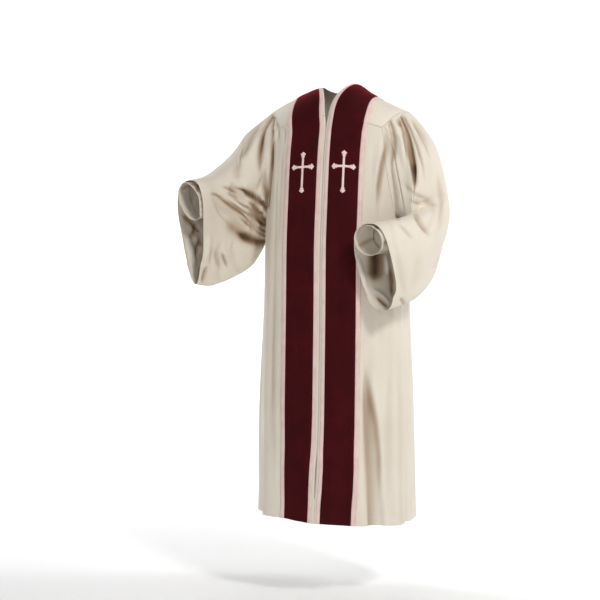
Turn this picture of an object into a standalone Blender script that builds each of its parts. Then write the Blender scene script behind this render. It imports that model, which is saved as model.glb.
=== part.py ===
"""Pulpit robe in ivory cloth: yoke, fronts, back and gathered bell sleeves, with velvet front bands.

Metres, +Z up. The front faces -Y and the wearer's left is +X. The origin is the middle of the neck
opening, level with the shoulder ridge, where a wearer's neck and shoulders hold the robe up.
The cloth is a function of two lengths on it: round, from the closing line towards the side seam
(positive on the wearer's left), and level, from the shoulder ridge down the front (positive) or
down the back (negative).
"""
import math
from functools import lru_cache

import bmesh
import bpy
import numpy as np

# Driving dimensions, in metres
WALL = 0.002
VELVET_WALL = 0.0015
TRIM_WALL = 0.001
CROSS_WALL = 0.0012
SEAM_GAP = 0.0003
ROBE_DROP = 1.331
SIDE_REACH = 0.24
HEM_LIFT = 0.022
SEAM_TURN = 0.004

# The shoulder is rounded off over this length of cloth, and falls this far in doing so
RIDGE_ARC = 0.17
RIDGE_DROP = 0.10
SLOPE_FADE = {"front": 0.42, "back": 0.32}
RING_POWER = 2.5

# Bands on each front, outward from the closing edge
CLOSING_MARGIN = 0.0070
INNER_TRIM = 0.0120
VELVET_FRONT = 0.0925
OUTER_TRIM = 0.0155
VELVET_CELLS = 3
# Cells across the cloth outward of the bands
FRONT_CELLS = 5
YOKE_CELLS = 5

# Seams across the body, as levels
FRONT_YOKE = 0.168
BACK_YOKE = 0.172
UNDERARM = 0.555
HEM = ROBE_DROP - RIDGE_DROP + RIDGE_ARC
FRONT_LEVELS = (FRONT_YOKE + 3 * SEAM_GAP, 0.186, 0.215, 0.255, 0.305, 0.355, 0.405, 0.45, 0.49, 0.522,
                0.543, UNDERARM)
BACK_LEVELS = (BACK_YOKE + 2 * SEAM_GAP, 0.190, 0.225, 0.285, 0.365, 0.45, 0.515, UNDERARM)
SKIRT_LEVELS = (0.61, 0.69, 0.78, 0.88, 0.98, 1.08, 1.18, 1.27, 1.36, HEM)

# Ring of the body at each drop below the ridge: half width, depth to the front and to the back,
# where its middle lies, and how far the closing line is moved round it
BODY = {
    "drop": (0.00, 0.10, 0.20, 0.35, 0.50, 0.70, 1.00, 1.36),
    "half_width": (0.216, 0.219, 0.222, 0.223, 0.224, 0.229, 0.237, 0.239),
    "front": (0.125, 0.137, 0.150, 0.160, 0.168, 0.180, 0.200, 0.218),
    "back": (0.112, 0.118, 0.130, 0.136, 0.140, 0.152, 0.176, 0.196),
    "middle_x": (0.004, 0.006, 0.002, -0.004, -0.008, -0.007, -0.005, -0.001),
    "middle_y": (0.014, 0.018, 0.020, 0.020, 0.018, 0.016, 0.012, 0.010),
    "closing_shift": (0.000, -0.005, -0.006, -0.004, -0.002, 0.000, 0.002, -0.009),
}

# Height of the shoulder ridge along each shoulder
RIDGE = {
    "reach": (0.00, 0.05, 0.10, 0.16, 0.22),
    "left": (0.016, 0.020, -0.010, -0.042, -0.070),
    "right": (0.016, 0.011, -0.005, -0.030, -0.058),
}

# Half gap between the closing edges, with the small gape above the hem
CLOSING = {
    "drop": (0.097, 0.12, 0.14, 0.30, 1.10, 1.17, 1.22, 1.28, 1.36),
    "edge": (0.0045, 0.0015, 0.0002, 0.0002, 0.0002, 0.0020, 0.0020, 0.0003, 0.0003),
}

# Share of the way round to the side seam at which each armhole edge lies
ARMHOLE = {
    "drop": (0.095, 0.215, 0.30, 0.38, 0.44, 0.47, 0.485),
    "front": (0.573, 0.610, 0.660, 0.735, 0.835, 0.925, 1.0),
    "back": (0.640, 0.660, 0.700, 0.765, 0.855, 0.935, 1.0),
}

# Cross lines of one half of the yoke, from the front seam over the shoulder to the centre back:
# the neck edge, the outer edge, the width of the velvet and the cloth left inside the inner trim
YOKE = {
    "neck_round": (0.0045, 0.0090, 0.0150, 0.0230, 0.0320, 0.0410, 0.0475, 0.0505, 0.0495,
                   0.0450, 0.0385, 0.0320, 0.0255, 0.0190, 0.0125, 0.0060, 0.0),
    "neck_level": (0.1680, 0.1400, 0.1120, 0.0870, 0.0640, 0.0410, 0.0190, 0.0, -0.0200,
                   -0.0370, -0.0470, -0.0525, -0.0560, -0.0585, -0.0603, -0.0615, -0.0620),
    "outer_level": (0.1680, 0.1400, 0.1120, 0.0870, 0.0640, 0.0410, 0.0190, 0.0, -0.0500,
                    -0.1100, -0.1720, -0.1720, -0.1720, -0.1720, -0.1720, -0.1720, -0.1720),
    "outer_round": (0.0, 0.1860, 0.1960, 0.2030, 0.2085, 0.2125, 0.2150, 0.2160, 0.2120,
                    0.2040, 0.0, 0.1550, 0.1240, 0.0930, 0.0620, 0.0310, 0.0),
    "velvet": (0.0925, 0.0915, 0.0880, 0.0810, 0.0740, 0.0670, 0.0620, 0.0590, 0.0570,
               0.0560, 0.0550, 0.0550, 0.0550, 0.0550, 0.0550, 0.0550, 0.0550),
    "margin": (0.0065, 0.0055, 0.0040, 0.0030, 0.0020, 0.0015, 0.0012, 0.0010, 0.0010,
               0.0010, 0.0010, 0.0010, 0.0010, 0.0010, 0.0010, 0.0010, 0.0010),
}
# The cross line that ends at the back corner of the armhole
YOKE_BACK_CORNER = 10

# Standing and hollow folds of the skirt: where round the ring, the drop where each starts, how far
# it stands out at the hem (or in, if negative) and half its width; they fade out towards the side
# seam, over the shares of the way round given as calm
FRONT_FOLDS = (
    {"round": 0.195, "start": 0.80, "depth": -0.022, "width": 0.034},
    {"round": 0.275, "start": 0.55, "depth": 0.010, "width": 0.034},
    {"round": 0.330, "start": 0.60, "depth": -0.008, "width": 0.026},
    {"round": -0.010, "start": 0.95, "depth": 0.012, "width": 0.040},
    {"round": -0.115, "start": 0.95, "depth": -0.014, "width": 0.040},
    {"round": -0.190, "start": 0.25, "depth": 0.009, "width": 0.030},
    {"round": -0.245, "start": 0.35, "depth": -0.008, "width": 0.024},
    {"round": -0.300, "start": 0.45, "depth": 0.008, "width": 0.026},
)
FRONT_CALM = {"from": 0.88, "over": 0.12}
BACK_FLUTES = 10
BACK_CALM = {"from": 0.62, "over": 0.30}
FLUTE = {
    "drop": (0.10, 0.104, 0.12, 0.155, 0.22, 0.50, 0.90, 1.36),
    "depth": (0.0, 0.0, 0.0014, 0.0045, 0.0055, 0.0060, 0.0085, 0.0120),
}

# Stations of each sleeve from its armhole to its mouth: the top and the low point of the ring, the
# direction its front side faces in degrees from +X, its two half widths and how much narrower it
# is at the low point
RIGHT_SLEEVE = {
    "along": (0.0, 0.30, 0.55, 0.80, 1.0),
    "top_x": (-0.214, -0.304, -0.342, -0.380, -0.402),
    "top_y": (0.020, 0.000, -0.050, -0.140, -0.225),
    "top_z": (-0.058, -0.136, -0.202, -0.264, -0.282),
    "low_x": (-0.246, -0.280, -0.335, -0.380, -0.400),
    "low_y": (0.018, 0.000, -0.050, -0.130, -0.190),
    "low_z": (-0.480, -0.542, -0.585, -0.608, -0.602),
    "facing": (270.0, 282.0, 305.0, 332.0, 345.0),
    "front": (0.120, 0.118, 0.098, 0.070, 0.056),
    "rear": (0.110, 0.105, 0.086, 0.078, 0.072),
    "pinch": (0.30, 0.40, 0.50, 0.60, 0.65),
}
LEFT_SLEEVE = {
    "along": (0.0, 0.28, 0.52, 0.76, 1.0),
    "top_x": (0.217, 0.298, 0.326, 0.280, 0.172),
    "top_y": (0.020, 0.020, 0.020, -0.100, -0.235),
    "top_z": (-0.070, -0.172, -0.330, -0.388, -0.418),
    "low_x": (0.224, 0.256, 0.282, 0.258, 0.206),
    "low_y": (0.018, 0.000, -0.030, -0.115, -0.205),
    "low_z": (-0.480, -0.538, -0.594, -0.648, -0.676),
    "facing": (270.0, 262.0, 228.0, 185.0, 152.0),
    "front": (0.120, 0.115, 0.100, 0.085, 0.090),
    "rear": (0.110, 0.086, 0.054, 0.058, 0.066),
    "pinch": (0.30, 0.25, 0.20, 0.15, 0.15),
}
CUFF_START = 0.90
# Rows of a sleeve, and its gathers: how the gathered part spreads round below the head, and how far
# the head keeps the armhole's form
SLEEVE_ROWS = (0.0, 0.03, 0.08, 0.15, 0.24, 0.34, 0.45, 0.57, 0.69, 0.80, CUFF_START, 1.0)
SLEEVE_GATHERS = 12
SPREAD_END = 0.28
SPREAD_LOW = 0.12
GATHER_STEPS = 4
HEAD_RUN = 0.16
HEAD_END = 0.30
GATHER = {
    "along": (0.0, 0.02, 0.05, 0.10, 0.20, 0.40, 0.60, 0.80, 1.0),
    "depth": (0.0, 0.0, 0.0030, 0.0070, 0.0085, 0.0045, 0.0010, 0.0, 0.0),
}
# Large folds of the sleeves, each a line on the sleeve from one place to another: the share of the
# way along and round (0 at the low line, 0.5 at the top line), how far it stands out or in, and
# half its width; they rise below the head and fall off before the mouth
SLEEVE_GIRTH = 0.80
SLEEVE_RUN = 0.50
FOLD_RISE = 0.08
FOLD_FALL = {"from": 0.80, "over": 0.12}
RIGHT_SLEEVE_FOLDS = (
    {"from": (0.62, 0.36), "to": (0.05, 0.15), "depth": -0.022, "width": 0.020},
    {"from": (0.86, 0.36), "to": (0.07, 0.07), "depth": -0.018, "width": 0.022},
    {"from": (0.48, 0.28), "to": (0.12, 0.11), "depth": 0.010, "width": 0.018},
    {"from": (0.06, 0.45), "to": (0.42, 0.41), "depth": -0.010, "width": 0.014},
    {"from": (0.58, 0.13), "to": (0.47, 0.02), "depth": -0.012, "width": 0.018},
    {"from": (0.76, 0.16), "to": (0.70, 0.02), "depth": -0.010, "width": 0.018},
    {"from": (0.55, 0.66), "to": (0.10, 0.86), "depth": -0.016, "width": 0.022},
    {"from": (0.80, 0.66), "to": (0.15, 0.95), "depth": -0.014, "width": 0.022},
)
LEFT_SLEEVE_FOLDS = (
    {"from": (0.06, 0.42), "to": (0.34, 0.28), "depth": -0.014, "width": 0.016},
    {"from": (0.04, 0.34), "to": (0.10, 0.16), "depth": -0.010, "width": 0.016},
    {"from": (0.45, 0.38), "to": (0.78, 0.64), "depth": -0.012, "width": 0.018},
    {"from": (0.40, 0.24), "to": (0.70, 0.12), "depth": -0.012, "width": 0.020},
    {"from": (0.60, 0.56), "to": (0.86, 0.76), "depth": 0.008, "width": 0.018},
    {"from": (0.30, 0.62), "to": (0.66, 0.84), "depth": -0.014, "width": 0.022},
    {"from": (0.12, 0.60), "to": (0.40, 0.90), "depth": -0.012, "width": 0.022},
)

# Cuffs inside the mouths: half height, half width, how far the lower end leans to the front side
# in degrees, its shift to the front side, the room over it and how far it shows beyond the mouth
RIGHT_CUFF = {"half_height": 0.062, "half_width": 0.037, "lean": 26.0, "shift": 0.0, "room": 0.0036,
              "beyond": 0.010}
LEFT_CUFF = {"half_height": 0.046, "half_width": 0.056, "lean": 0.0, "shift": 0.008, "room": 0.0011,
             "beyond": 0.010}
CUFF_STEPS = 20
CUFF_CLEAR = 0.0025

# Crosses on the velvet: level of the bar, half width of the arms, lengths of the arms, and the bud
# at each end as distances back from the tip and half widths
CROSS_LEVEL = 0.316
CROSS_ARM = 0.0036
CROSS_LENGTHS = {"up": 0.046, "down": 0.080, "side": 0.0375}
CROSS_BUD = {
    "back": (0.0170, 0.0145, 0.0118, 0.0080, 0.0045),
    "half_width": (0.0036, 0.0070, 0.0040, 0.0094, 0.0066),
}
CROSS_STEP = 0.013
CROSS_LIFT = SEAM_GAP + VELVET_WALL + 0.0005

# Fineness of the rings, and the step over which a direction is measured
RING_STEPS = 160
NORMAL_STEP = 0.003


def read(table, column, at):
    """Smooth reading of one column of a table at a value of its first column."""
    keys = table[next(iter(table))]
    values = table[column]
    at = min(max(at, keys[0]), keys[-1])
    k = min(max(int(np.searchsorted(keys, at)) - 1, 0), len(keys) - 2)
    span = keys[k + 1] - keys[k]
    share = (at - keys[k]) / span
    slope = (values[k + 1] - values[k]) / span

    def tangent(i):
        if i == 0 or i == len(keys) - 1:
            return slope
        before = (values[i] - values[i - 1]) / (keys[i] - keys[i - 1])
        after = (values[i + 1] - values[i]) / (keys[i + 1] - keys[i])
        return 0.0 if before * after <= 0 else 2 * before * after / (before + after)

    square = share * share
    cube = square * share
    return ((2 * cube - 3 * square + 1) * values[k] + (cube - 2 * square + share) * span * tangent(k)
            + (3 * square - 2 * cube) * values[k + 1] + (cube - square) * span * tangent(k + 1))


def ease(share):
    """Smooth step from 0 to 1."""
    share = min(max(share, 0.0), 1.0)
    return share * share * (3 - 2 * share)


def drop_at(level):
    """How far below the ridge a level lies."""
    level = abs(level)
    if level < RIDGE_ARC:
        return RIDGE_DROP * (1 - math.cos(math.pi / 2 * level / RIDGE_ARC))
    return RIDGE_DROP + level - RIDGE_ARC


@lru_cache(maxsize=None)
def half_ring(level):
    """Half ring at a level, from the centre line to the side: lengths, reaches and depths."""
    drop = drop_at(level)
    face = "front" if level >= 0 else "back"
    filled = math.sin(math.pi / 2 * min(abs(level) / RIDGE_ARC, 1.0))
    angle = np.linspace(0, math.pi / 2, RING_STEPS)
    reach = read(BODY, "half_width", drop) * np.sin(angle) ** (2 / RING_POWER)
    depth = read(BODY, face, drop) * filled * np.cos(angle) ** (2 / RING_POWER)
    depth[-1] = 0.0
    steps = np.hypot(np.diff(reach), np.diff(depth))
    return np.concatenate(([0.0], np.cumsum(steps))), reach, depth


def closing_shift(level):
    """How far round the ring the closing line lies."""
    return read(BODY, "closing_shift", drop_at(level)) if level > 0 else 0.0


def side_round(level, side):
    """Length from the closing line, or the centre back, to the side seam."""
    return half_ring(level)[0][-1] - side * closing_shift(level)


def fold_out(level, ring_round, half_length):
    """How far the folds carry the cloth out at one place on a ring."""
    drop = drop_at(level)
    if level < 0:
        share = ring_round / half_length
        calm = 1 - ease((abs(share) - BACK_CALM["from"]) / BACK_CALM["over"])
        return calm * read(FLUTE, "depth", drop) * math.cos(math.pi * BACK_FLUTES * share)
    out = 0.0
    for fold in FRONT_FOLDS:
        grown = ease((drop - fold["start"]) / (ROBE_DROP - fold["start"]))
        off = (ring_round - fold["round"]) / fold["width"]
        calm = 1 - ease((abs(ring_round) / half_length - FRONT_CALM["from"]) / FRONT_CALM["over"])
        out += calm * grown * fold["depth"] * math.exp(-off * off)
    return out


def place(round_, level):
    """Point of the body cloth, on its outer face."""
    lengths, reach, depth = half_ring(level)
    drop = drop_at(level)
    ring_round = round_ + closing_shift(level)
    side = 1 if ring_round >= 0 else -1
    facing = -1 if level >= 0 else 1
    x = float(np.interp(abs(ring_round), lengths, reach))
    y = float(np.interp(abs(ring_round), lengths, depth))
    slope_x = (x / reach[-1]) ** (RING_POWER - 1) / reach[-1]
    slope_y = (y / max(depth[0], 1e-6)) ** (RING_POWER - 1) / max(depth[0], 1e-6)
    size = math.hypot(slope_x, slope_y)
    out = fold_out(level, ring_round, lengths[-1])
    fade = SLOPE_FADE["front" if level >= 0 else "back"]
    ridge = read(RIDGE, "left" if side > 0 else "right", x) * (1 - ease(abs(level) / fade))
    world_x = read(BODY, "middle_x", drop) + side * (x + out * slope_x / size)
    lift = HEM_LIFT * (0.5 - world_x / (2 * SIDE_REACH)) * drop / ROBE_DROP
    return np.array((
        world_x,
        read(BODY, "middle_y", drop) + facing * (y + out * slope_y / size),
        ridge - drop + lift,
    ))


def cloth_normal(round_, level):
    """Direction out of the body cloth."""
    across = place(round_ + NORMAL_STEP, level) - place(round_ - NORMAL_STEP, level)
    along = place(round_, level + NORMAL_STEP) - place(round_, level - NORMAL_STEP)
    normal = -np.cross(across, along)
    return normal / np.linalg.norm(normal)


def cloth(round_, level, out=0.0):
    """Point at a height off the outer face of the body cloth."""
    point = place(round_, level)
    return point + cloth_normal(round_, level) * out if out else point


def closing_edge(level):
    """Half gap between the closing edges at a level."""
    return read(CLOSING, "edge", drop_at(level))


def armhole_round(level, side):
    """Where an armhole edge lies round the body, and below it the side seam."""
    face = "front" if level > 0 else "back"
    share = read(ARMHOLE, face, drop_at(level))
    return share * side_round(level, side)


def outer_edge(line, side):
    """Outer end of a cross line of the yoke, as round and level."""
    level = YOKE["outer_level"][line]
    if line in (0, YOKE_BACK_CORNER):
        return armhole_round(level, side), level
    return YOKE["outer_round"][line], level


def band_offsets(line):
    """Distances from the neck edge to the band edges on a cross line of the yoke."""
    inner = YOKE["margin"][line]
    velvet = inner + INNER_TRIM
    outer = velvet + YOKE["velvet"][line]
    return inner, velvet, outer, outer + OUTER_TRIM


def yoke_place(line, side, distance):
    """Round and level of the point at a distance from the neck edge on a cross line."""
    outer_round, outer_level = outer_edge(line, side)
    neck_round = YOKE["neck_round"][line]
    neck_level = YOKE["neck_level"][line]
    span = math.hypot(outer_round - neck_round, outer_level - neck_level)
    share = distance / span
    level = neck_level + share * (outer_level - neck_level)
    return side * (neck_round + share * (outer_round - neck_round)), level


def yoke_span(line, side):
    """Length of a cross line of the yoke."""
    outer_round, outer_level = outer_edge(line, side)
    return math.hypot(outer_round - YOKE["neck_round"][line], outer_level - YOKE["neck_level"][line])


def steps_between(first, last, cells):
    """Evenly spaced values, both ends included."""
    return [first + (last - first) * k / cells for k in range(cells + 1)]


def front_bands(level):
    """Distances from the closing line to the band edges at a level of a front."""
    edge = closing_edge(level)
    inner = edge + CLOSING_MARGIN
    velvet = inner + INNER_TRIM
    outer = velvet + VELVET_FRONT
    return edge, inner, velvet, outer, outer + OUTER_TRIM


def new_material(name, colour, roughness, sheen=0.0):
    """Plain Principled material."""
    material = bpy.data.materials.new(name)
    material.use_nodes = True
    shader = material.node_tree.nodes["Principled BSDF"]
    shader.inputs["Base Color"].default_value = (*colour, 1.0)
    shader.inputs["Roughness"].default_value = roughness
    shader.inputs["Sheen Weight"].default_value = sheen
    shader.inputs["Metallic"].default_value = 0.0
    return material


def add_wall(name, mesh_faces, wall, offset, material):
    """Object from a mesh with a wall of even thickness on it."""
    mesh = bpy.data.meshes.new(name)
    mesh_faces.to_mesh(mesh)
    mesh_faces.free()
    mesh.shade_smooth()
    made = bpy.data.objects.new(name, mesh)
    made.data.materials.append(material)
    solid = made.modifiers.new("wall", "SOLIDIFY")
    solid.thickness = wall
    solid.offset = offset
    solid.use_even_offset = False
    ROBE.objects.link(made)
    return made


def sheet(name, rows, wall, offset, outward, material, closed=False):
    """Cloth through rows of points, faced so that the given direction is out of its middle."""
    rows = [[np.array(point) for point in row] for row in rows]
    middle = rows[len(rows) // 2]
    below = rows[len(rows) // 2 - 1]
    k = len(middle) // 2
    normal = np.cross(middle[k] - middle[k - 1], middle[k] - below[k])
    turned = float(np.dot(normal, outward)) < 0
    faces = bmesh.new()
    grid = [[faces.verts.new(tuple(point)) for point in row] for row in rows]
    count = len(grid[0])
    for first, second in zip(grid, grid[1:]):
        for k in range(count if closed else count - 1):
            n = (k + 1) % count
            for corners in ((first[k], first[n], second[n]), (first[k], second[n], second[k])):
                faces.faces.new(corners[::-1] if turned else corners)
    return add_wall(name, faces, wall, offset, material)


def front_levels(side):
    """Rows of a front, upward on the left and downward on the right, as the yoke's lines run."""
    levels = FRONT_LEVELS + SKIRT_LEVELS
    return levels[::-1] if side > 0 else levels


def front_spots(level, side):
    """Distances from the closing line, and spots on the cloth, of one row of a front."""
    edge, inner, velvet, outer, trimmed = front_bands(level)
    last = armhole_round(level, side) - SEAM_GAP / 2
    values = [edge, inner] + steps_between(velvet, outer, VELVET_CELLS) + [trimmed]
    values += steps_between(trimmed, last - SEAM_TURN, FRONT_CELLS)[1:] + [last]
    return values, [(side * value, level) for value in values]


def make_front(side, name):
    """One front panel, from the yoke seam to the hem and from the closing edge to the side."""
    rows = [[cloth(*spot) for spot in front_spots(level, side)[1]] for level in front_levels(side)]
    sheet(name, rows, WALL, -1, (0, -1, 0), IVORY)


def back_seam():
    """Points of the yoke's lower edge across the back, in order of x."""
    corners = [spot for spot in yoke_lines() if spot[0] >= YOKE_BACK_CORNER]
    points = [cloth(*yoke_spots(line, side)[1][-1]) for line, side in corners]
    return np.array(sorted(points, key=lambda point: point[0]))


def make_back():
    """The back panel, fluted below the back yoke, its first row along the yoke's edge."""
    rows = []
    cells = 4 * BACK_FLUTES
    for level in BACK_LEVELS + SKIRT_LEVELS:
        last = armhole_round(-level, 1) - SEAM_GAP / 2
        row = []
        for k in range(cells + 1):
            share = 2 * k / cells - 1
            row.append(cloth(share * (last - SEAM_TURN), -level))
        rows.append([cloth(-last, -level)] + row + [cloth(last, -level)])
    seam = back_seam()
    for point in rows[0]:
        point[1] = np.interp(point[0], seam[:, 0], seam[:, 1])
        point[2] = np.interp(point[0], seam[:, 0], seam[:, 2]) - 2 * SEAM_GAP
    sheet("back", rows, WALL, -1, (0, 1, 0), IVORY)


def yoke_lines():
    """Cross lines of the whole yoke, from the left front over the back to the right front."""
    last = len(YOKE["velvet"]) - 1
    return [(line, 1) for line in range(last + 1)] + [(line, -1) for line in range(last - 1, -1, -1)]


def yoke_spots(line, side):
    """Distances from the neck edge, and spots on the cloth, of one cross line of the yoke."""
    inner, velvet, outer, trimmed = band_offsets(line)
    last = yoke_span(line, side) - SEAM_GAP
    values = [0.0, inner] + steps_between(velvet, outer, VELVET_CELLS) + [trimmed]
    values += steps_between(trimmed, last - SEAM_TURN, YOKE_CELLS)[1:] + [last]
    return values, [yoke_place(line, side, value) for value in values]


def make_yoke():
    """The yoke over both shoulders and round the back of the neck."""
    rows = [[cloth(*spot) for spot in yoke_spots(line, side)[1]] for line, side in yoke_lines()]
    sheet("yoke", rows, WALL, -1, (0, 0, 1), IVORY)


def lifted(values, spots, first, last):
    """Part of a panel's row, drawn in by the seam gap at both ends and lifted off the panel."""
    points = np.array([cloth(*spot) for spot in spots])
    normals = np.array([cloth_normal(*spot) for spot in spots])
    wanted = list(values[first:last + 1])
    wanted[0] += SEAM_GAP / 2
    wanted[-1] -= SEAM_GAP / 2
    raised = points + normals * SEAM_GAP
    return [np.array([np.interp(value, values, raised[:, k]) for k in range(3)]) for value in wanted]


def band_rows(side, first, last):
    """Rows of a band on its panels, between one hem and the centre back."""
    on_front = [lifted(*front_spots(level, side), first, last) for level in front_levels(side)]
    on_yoke = [lifted(*yoke_spots(line, side), first, last) for line in range(len(YOKE["velvet"]))]
    for point in on_yoke[-1]:
        point[0] += side * SEAM_GAP / 2
    return on_front + on_yoke if side > 0 else on_yoke[::-1] + on_front


def make_bands(side, word):
    """Velvet band and the flat trims on both sides of it."""
    last = 2 + VELVET_CELLS
    front = (0, -1, 0)
    sheet("velvet_" + word, band_rows(side, 2, last), VELVET_WALL, 1, front, VELVET)
    sheet("trim_inner_" + word, band_rows(side, 1, 2), TRIM_WALL, 1, front, TRIM)
    sheet("trim_outer_" + word, band_rows(side, last, last + 1), TRIM_WALL, 1, front, TRIM)


def armhole_ring(side):
    """Armhole ring through the seam ends of the panels, from the underarm up the front and round.

    Gives the points, the directions away from the body, and the shares of the way round, with the
    places of both yoke corners in them.
    """
    path = [(side * armhole_round(level, side), level) for level in reversed(FRONT_LEVELS)]
    first_corner = len(path)
    path += [(side * outer_edge(line, side)[0], outer_edge(line, side)[1])
             for line in range(YOKE_BACK_CORNER + 1)]
    second_corner = len(path) - 1
    path += [(side * armhole_round(-level, side), -level) for level in BACK_LEVELS[1:]]
    points = np.array([cloth(*spot) for spot in path])
    normals = np.array([cloth_normal(*spot) for spot in path])
    away = np.cross(np.gradient(points, axis=0), normals) * side
    away /= np.linalg.norm(away, axis=1)[:, None]
    steps = np.linalg.norm(np.diff(points, axis=0), axis=1)
    shares = np.concatenate(([0.0], np.cumsum(steps))) / steps.sum()
    return points, away, shares, first_corner, second_corner


def column_shares(shares, first_corner, second_corner):
    """Shares round the armhole at which a sleeve has its columns, closing on the first of them."""
    gathered = steps_between(shares[first_corner], shares[second_corner], SLEEVE_GATHERS * GATHER_STEPS)
    return list(shares[:first_corner]) + gathered + list(shares[second_corner + 1:-1])


def spread_share(share, along, first, second):
    """Place round a sleeve ring, with the gathered part spreading out below the head."""
    grown = ease(along / SPREAD_END)
    low = first + (SPREAD_LOW - first) * grown
    high = second + (1 - SPREAD_LOW - second) * grown
    return float(np.interp(share, (0.0, first, second, 1.0), (0.0, low, high, 1.0)))


def station_frame(table, along):
    """Top point, low point and direction to the front side of a sleeve station."""
    top = np.array([read(table, "top_" + axis, along) for axis in "xyz"])
    low = np.array([read(table, "low_" + axis, along) for axis in "xyz"])
    facing = math.radians(read(table, "facing", along))
    return top, low, np.array((math.cos(facing), math.sin(facing), 0.0))


def section(table, along, share):
    """Point of a sleeve ring, from its low point up the front side and down the rear."""
    top, low, ahead = station_frame(table, along)
    points = station_ring(read(table, "front", along), read(table, "rear", along),
                          float(np.linalg.norm(top - low)) / 2, read(table, "pinch", along))
    lengths, across, up = points
    value = share * lengths[-1]
    offset = float(np.interp(value, lengths, across))
    height = float(np.interp(value, lengths, up))
    return (top + low) / 2 + ahead * offset + (top - low) / 2 * height


@lru_cache(maxsize=None)
def station_ring(front, rear, half_height, pinch):
    """Flat ring with its low point first: lengths, offsets to the front, and heights from -1 to 1."""
    angle = np.linspace(0, 2 * math.pi, RING_STEPS + 1)
    up = -np.sign(np.cos(angle)) * np.abs(np.cos(angle)) ** (2 / RING_POWER)
    across = np.sign(np.sin(angle)) * np.abs(np.sin(angle)) ** (2 / RING_POWER)
    across = across * np.where(across > 0, front, rear) * (1 - pinch * (1 - up) / 2)
    steps = np.hypot(np.diff(across), np.diff(up) * half_height)
    return np.concatenate(([0.0], np.cumsum(steps))), across, up


def fold_depth(folds, along, share):
    """How far the large folds carry a sleeve out at one place."""
    here = np.array((along * SLEEVE_RUN, share * SLEEVE_GIRTH))
    out = 0.0
    for fold in folds:
        start = np.array((fold["from"][0] * SLEEVE_RUN, fold["from"][1] * SLEEVE_GIRTH))
        run = np.array((fold["to"][0] * SLEEVE_RUN, fold["to"][1] * SLEEVE_GIRTH)) - start
        part = float(np.clip(np.dot(here - start, run) / np.dot(run, run), 0.0, 1.0))
        off = float(np.linalg.norm(here - start - part * run)) / fold["width"]
        out += fold["depth"] * math.exp(-off * off)
    fall = 1 - ease((along - FOLD_FALL["from"]) / FOLD_FALL["over"])
    return out * ease(along / FOLD_RISE) * fall


def sleeve_grid(side, table, folds, rows=SLEEVE_ROWS):
    """Rows of points of a sleeve from the armhole to the mouth."""
    ring, away, lengths, first_corner, second_corner = armhole_ring(side)
    first, second = lengths[first_corner], lengths[second_corner]
    shares = column_shares(lengths, first_corner, second_corner)
    base = []
    for along in rows:
        row = []
        blend = ease(along / HEAD_END)
        for share in shares:
            head = np.array([np.interp(share, lengths, ring[:, k]) for k in range(3)])
            reach = np.array([np.interp(share, lengths, away[:, k]) for k in range(3)])
            head += reach * (2 * SEAM_GAP + along * HEAD_RUN)
            row.append(head * (1 - blend)
                       + section(table, along, spread_share(share, along, first, second)) * blend)
        base.append(row)
    base = np.array(base)
    across = np.roll(base, -1, axis=1) - np.roll(base, 1, axis=1)
    down = np.gradient(base, axis=0)
    normals = np.cross(across, down) * side
    normals /= np.linalg.norm(normals, axis=2)[:, :, None]
    for row, along in enumerate(rows):
        gather = read(GATHER, "depth", along)
        for column, share in enumerate(shares):
            inside = (share - first) / (second - first)
            out = gather * math.cos(2 * math.pi * SLEEVE_GATHERS * inside) if 0 <= inside <= 1 else 0.0
            out += fold_depth(folds, along, spread_share(share, along, first, second))
            base[row, column] += normals[row, column] * out
    return base


def make_sleeve(side, name, table, folds):
    """One bell sleeve, gathered into the yoke."""
    grid = sleeve_grid(side, table, folds)
    k = grid.shape[1] // 2
    sheet(name, grid, WALL, -1, grid[6][k] - grid[6].mean(axis=0), IVORY, closed=True)


def inside_mouth(table, along, below, beside):
    """Distance to the front side, kept clear of the sleeve wall at a depth below its top."""
    top, low, ahead = station_frame(table, along)
    height = 1 - 2 * below / float(np.linalg.norm(top - low))
    width = read(table, "front" if beside > 0 else "rear", along)
    width *= max(1 - abs(height) ** RING_POWER, 0.0) ** (1 / RING_POWER)
    width *= 1 - read(table, "pinch", along) * (1 - height) / 2
    room = max(width - WALL - CUFF_CLEAR, 0.0)
    return math.copysign(min(abs(beside), room), beside)


def make_cuff(name, table, cuff):
    """Band at the wrist, under the top of a sleeve's mouth."""
    lean = math.radians(cuff["lean"])
    reach = math.hypot(cuff["half_height"] * math.cos(lean), cuff["half_width"] * math.sin(lean))
    rings = []
    for along in (CUFF_START, 1.0):
        top, low, ahead = station_frame(table, along)
        down = (low - top) / np.linalg.norm(low - top)
        depth = WALL + cuff["room"] + reach
        ring = []
        for k in range(CUFF_STEPS):
            turn = 2 * math.pi * k / CUFF_STEPS
            long_way = cuff["half_height"] * math.cos(turn)
            short_way = cuff["half_width"] * math.sin(turn)
            below = depth + long_way * math.cos(lean) - short_way * math.sin(lean)
            beside = cuff["shift"] + long_way * math.sin(lean) + short_way * math.cos(lean)
            ring.append(top + down * below + ahead * inside_mouth(table, along, below, beside))
        rings.append(ring)
    run = rings[1][0] - rings[0][0]
    step = run / np.linalg.norm(run) * cuff["beyond"]
    rings.append([point + step for point in rings[1]])
    k = CUFF_STEPS // 2
    outward = rings[1][k] - np.mean(rings[1], axis=0)
    sheet(name, rings, WALL, -1, outward, IVORY, closed=True)


def cross_stations(length):
    """Stations of one arm of a cross, from the middle square to the tip: distance and half width."""
    root = length - CROSS_BUD["back"][0]
    cells = max(1, math.ceil((root - CROSS_ARM) / CROSS_STEP))
    stations = [(distance, CROSS_ARM) for distance in steps_between(CROSS_ARM, root, cells)]
    stations += [(length - back, half) for back, half
                 in list(zip(CROSS_BUD["back"], CROSS_BUD["half_width"]))[1:]]
    return stations + [(length, 0.0)]


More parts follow.
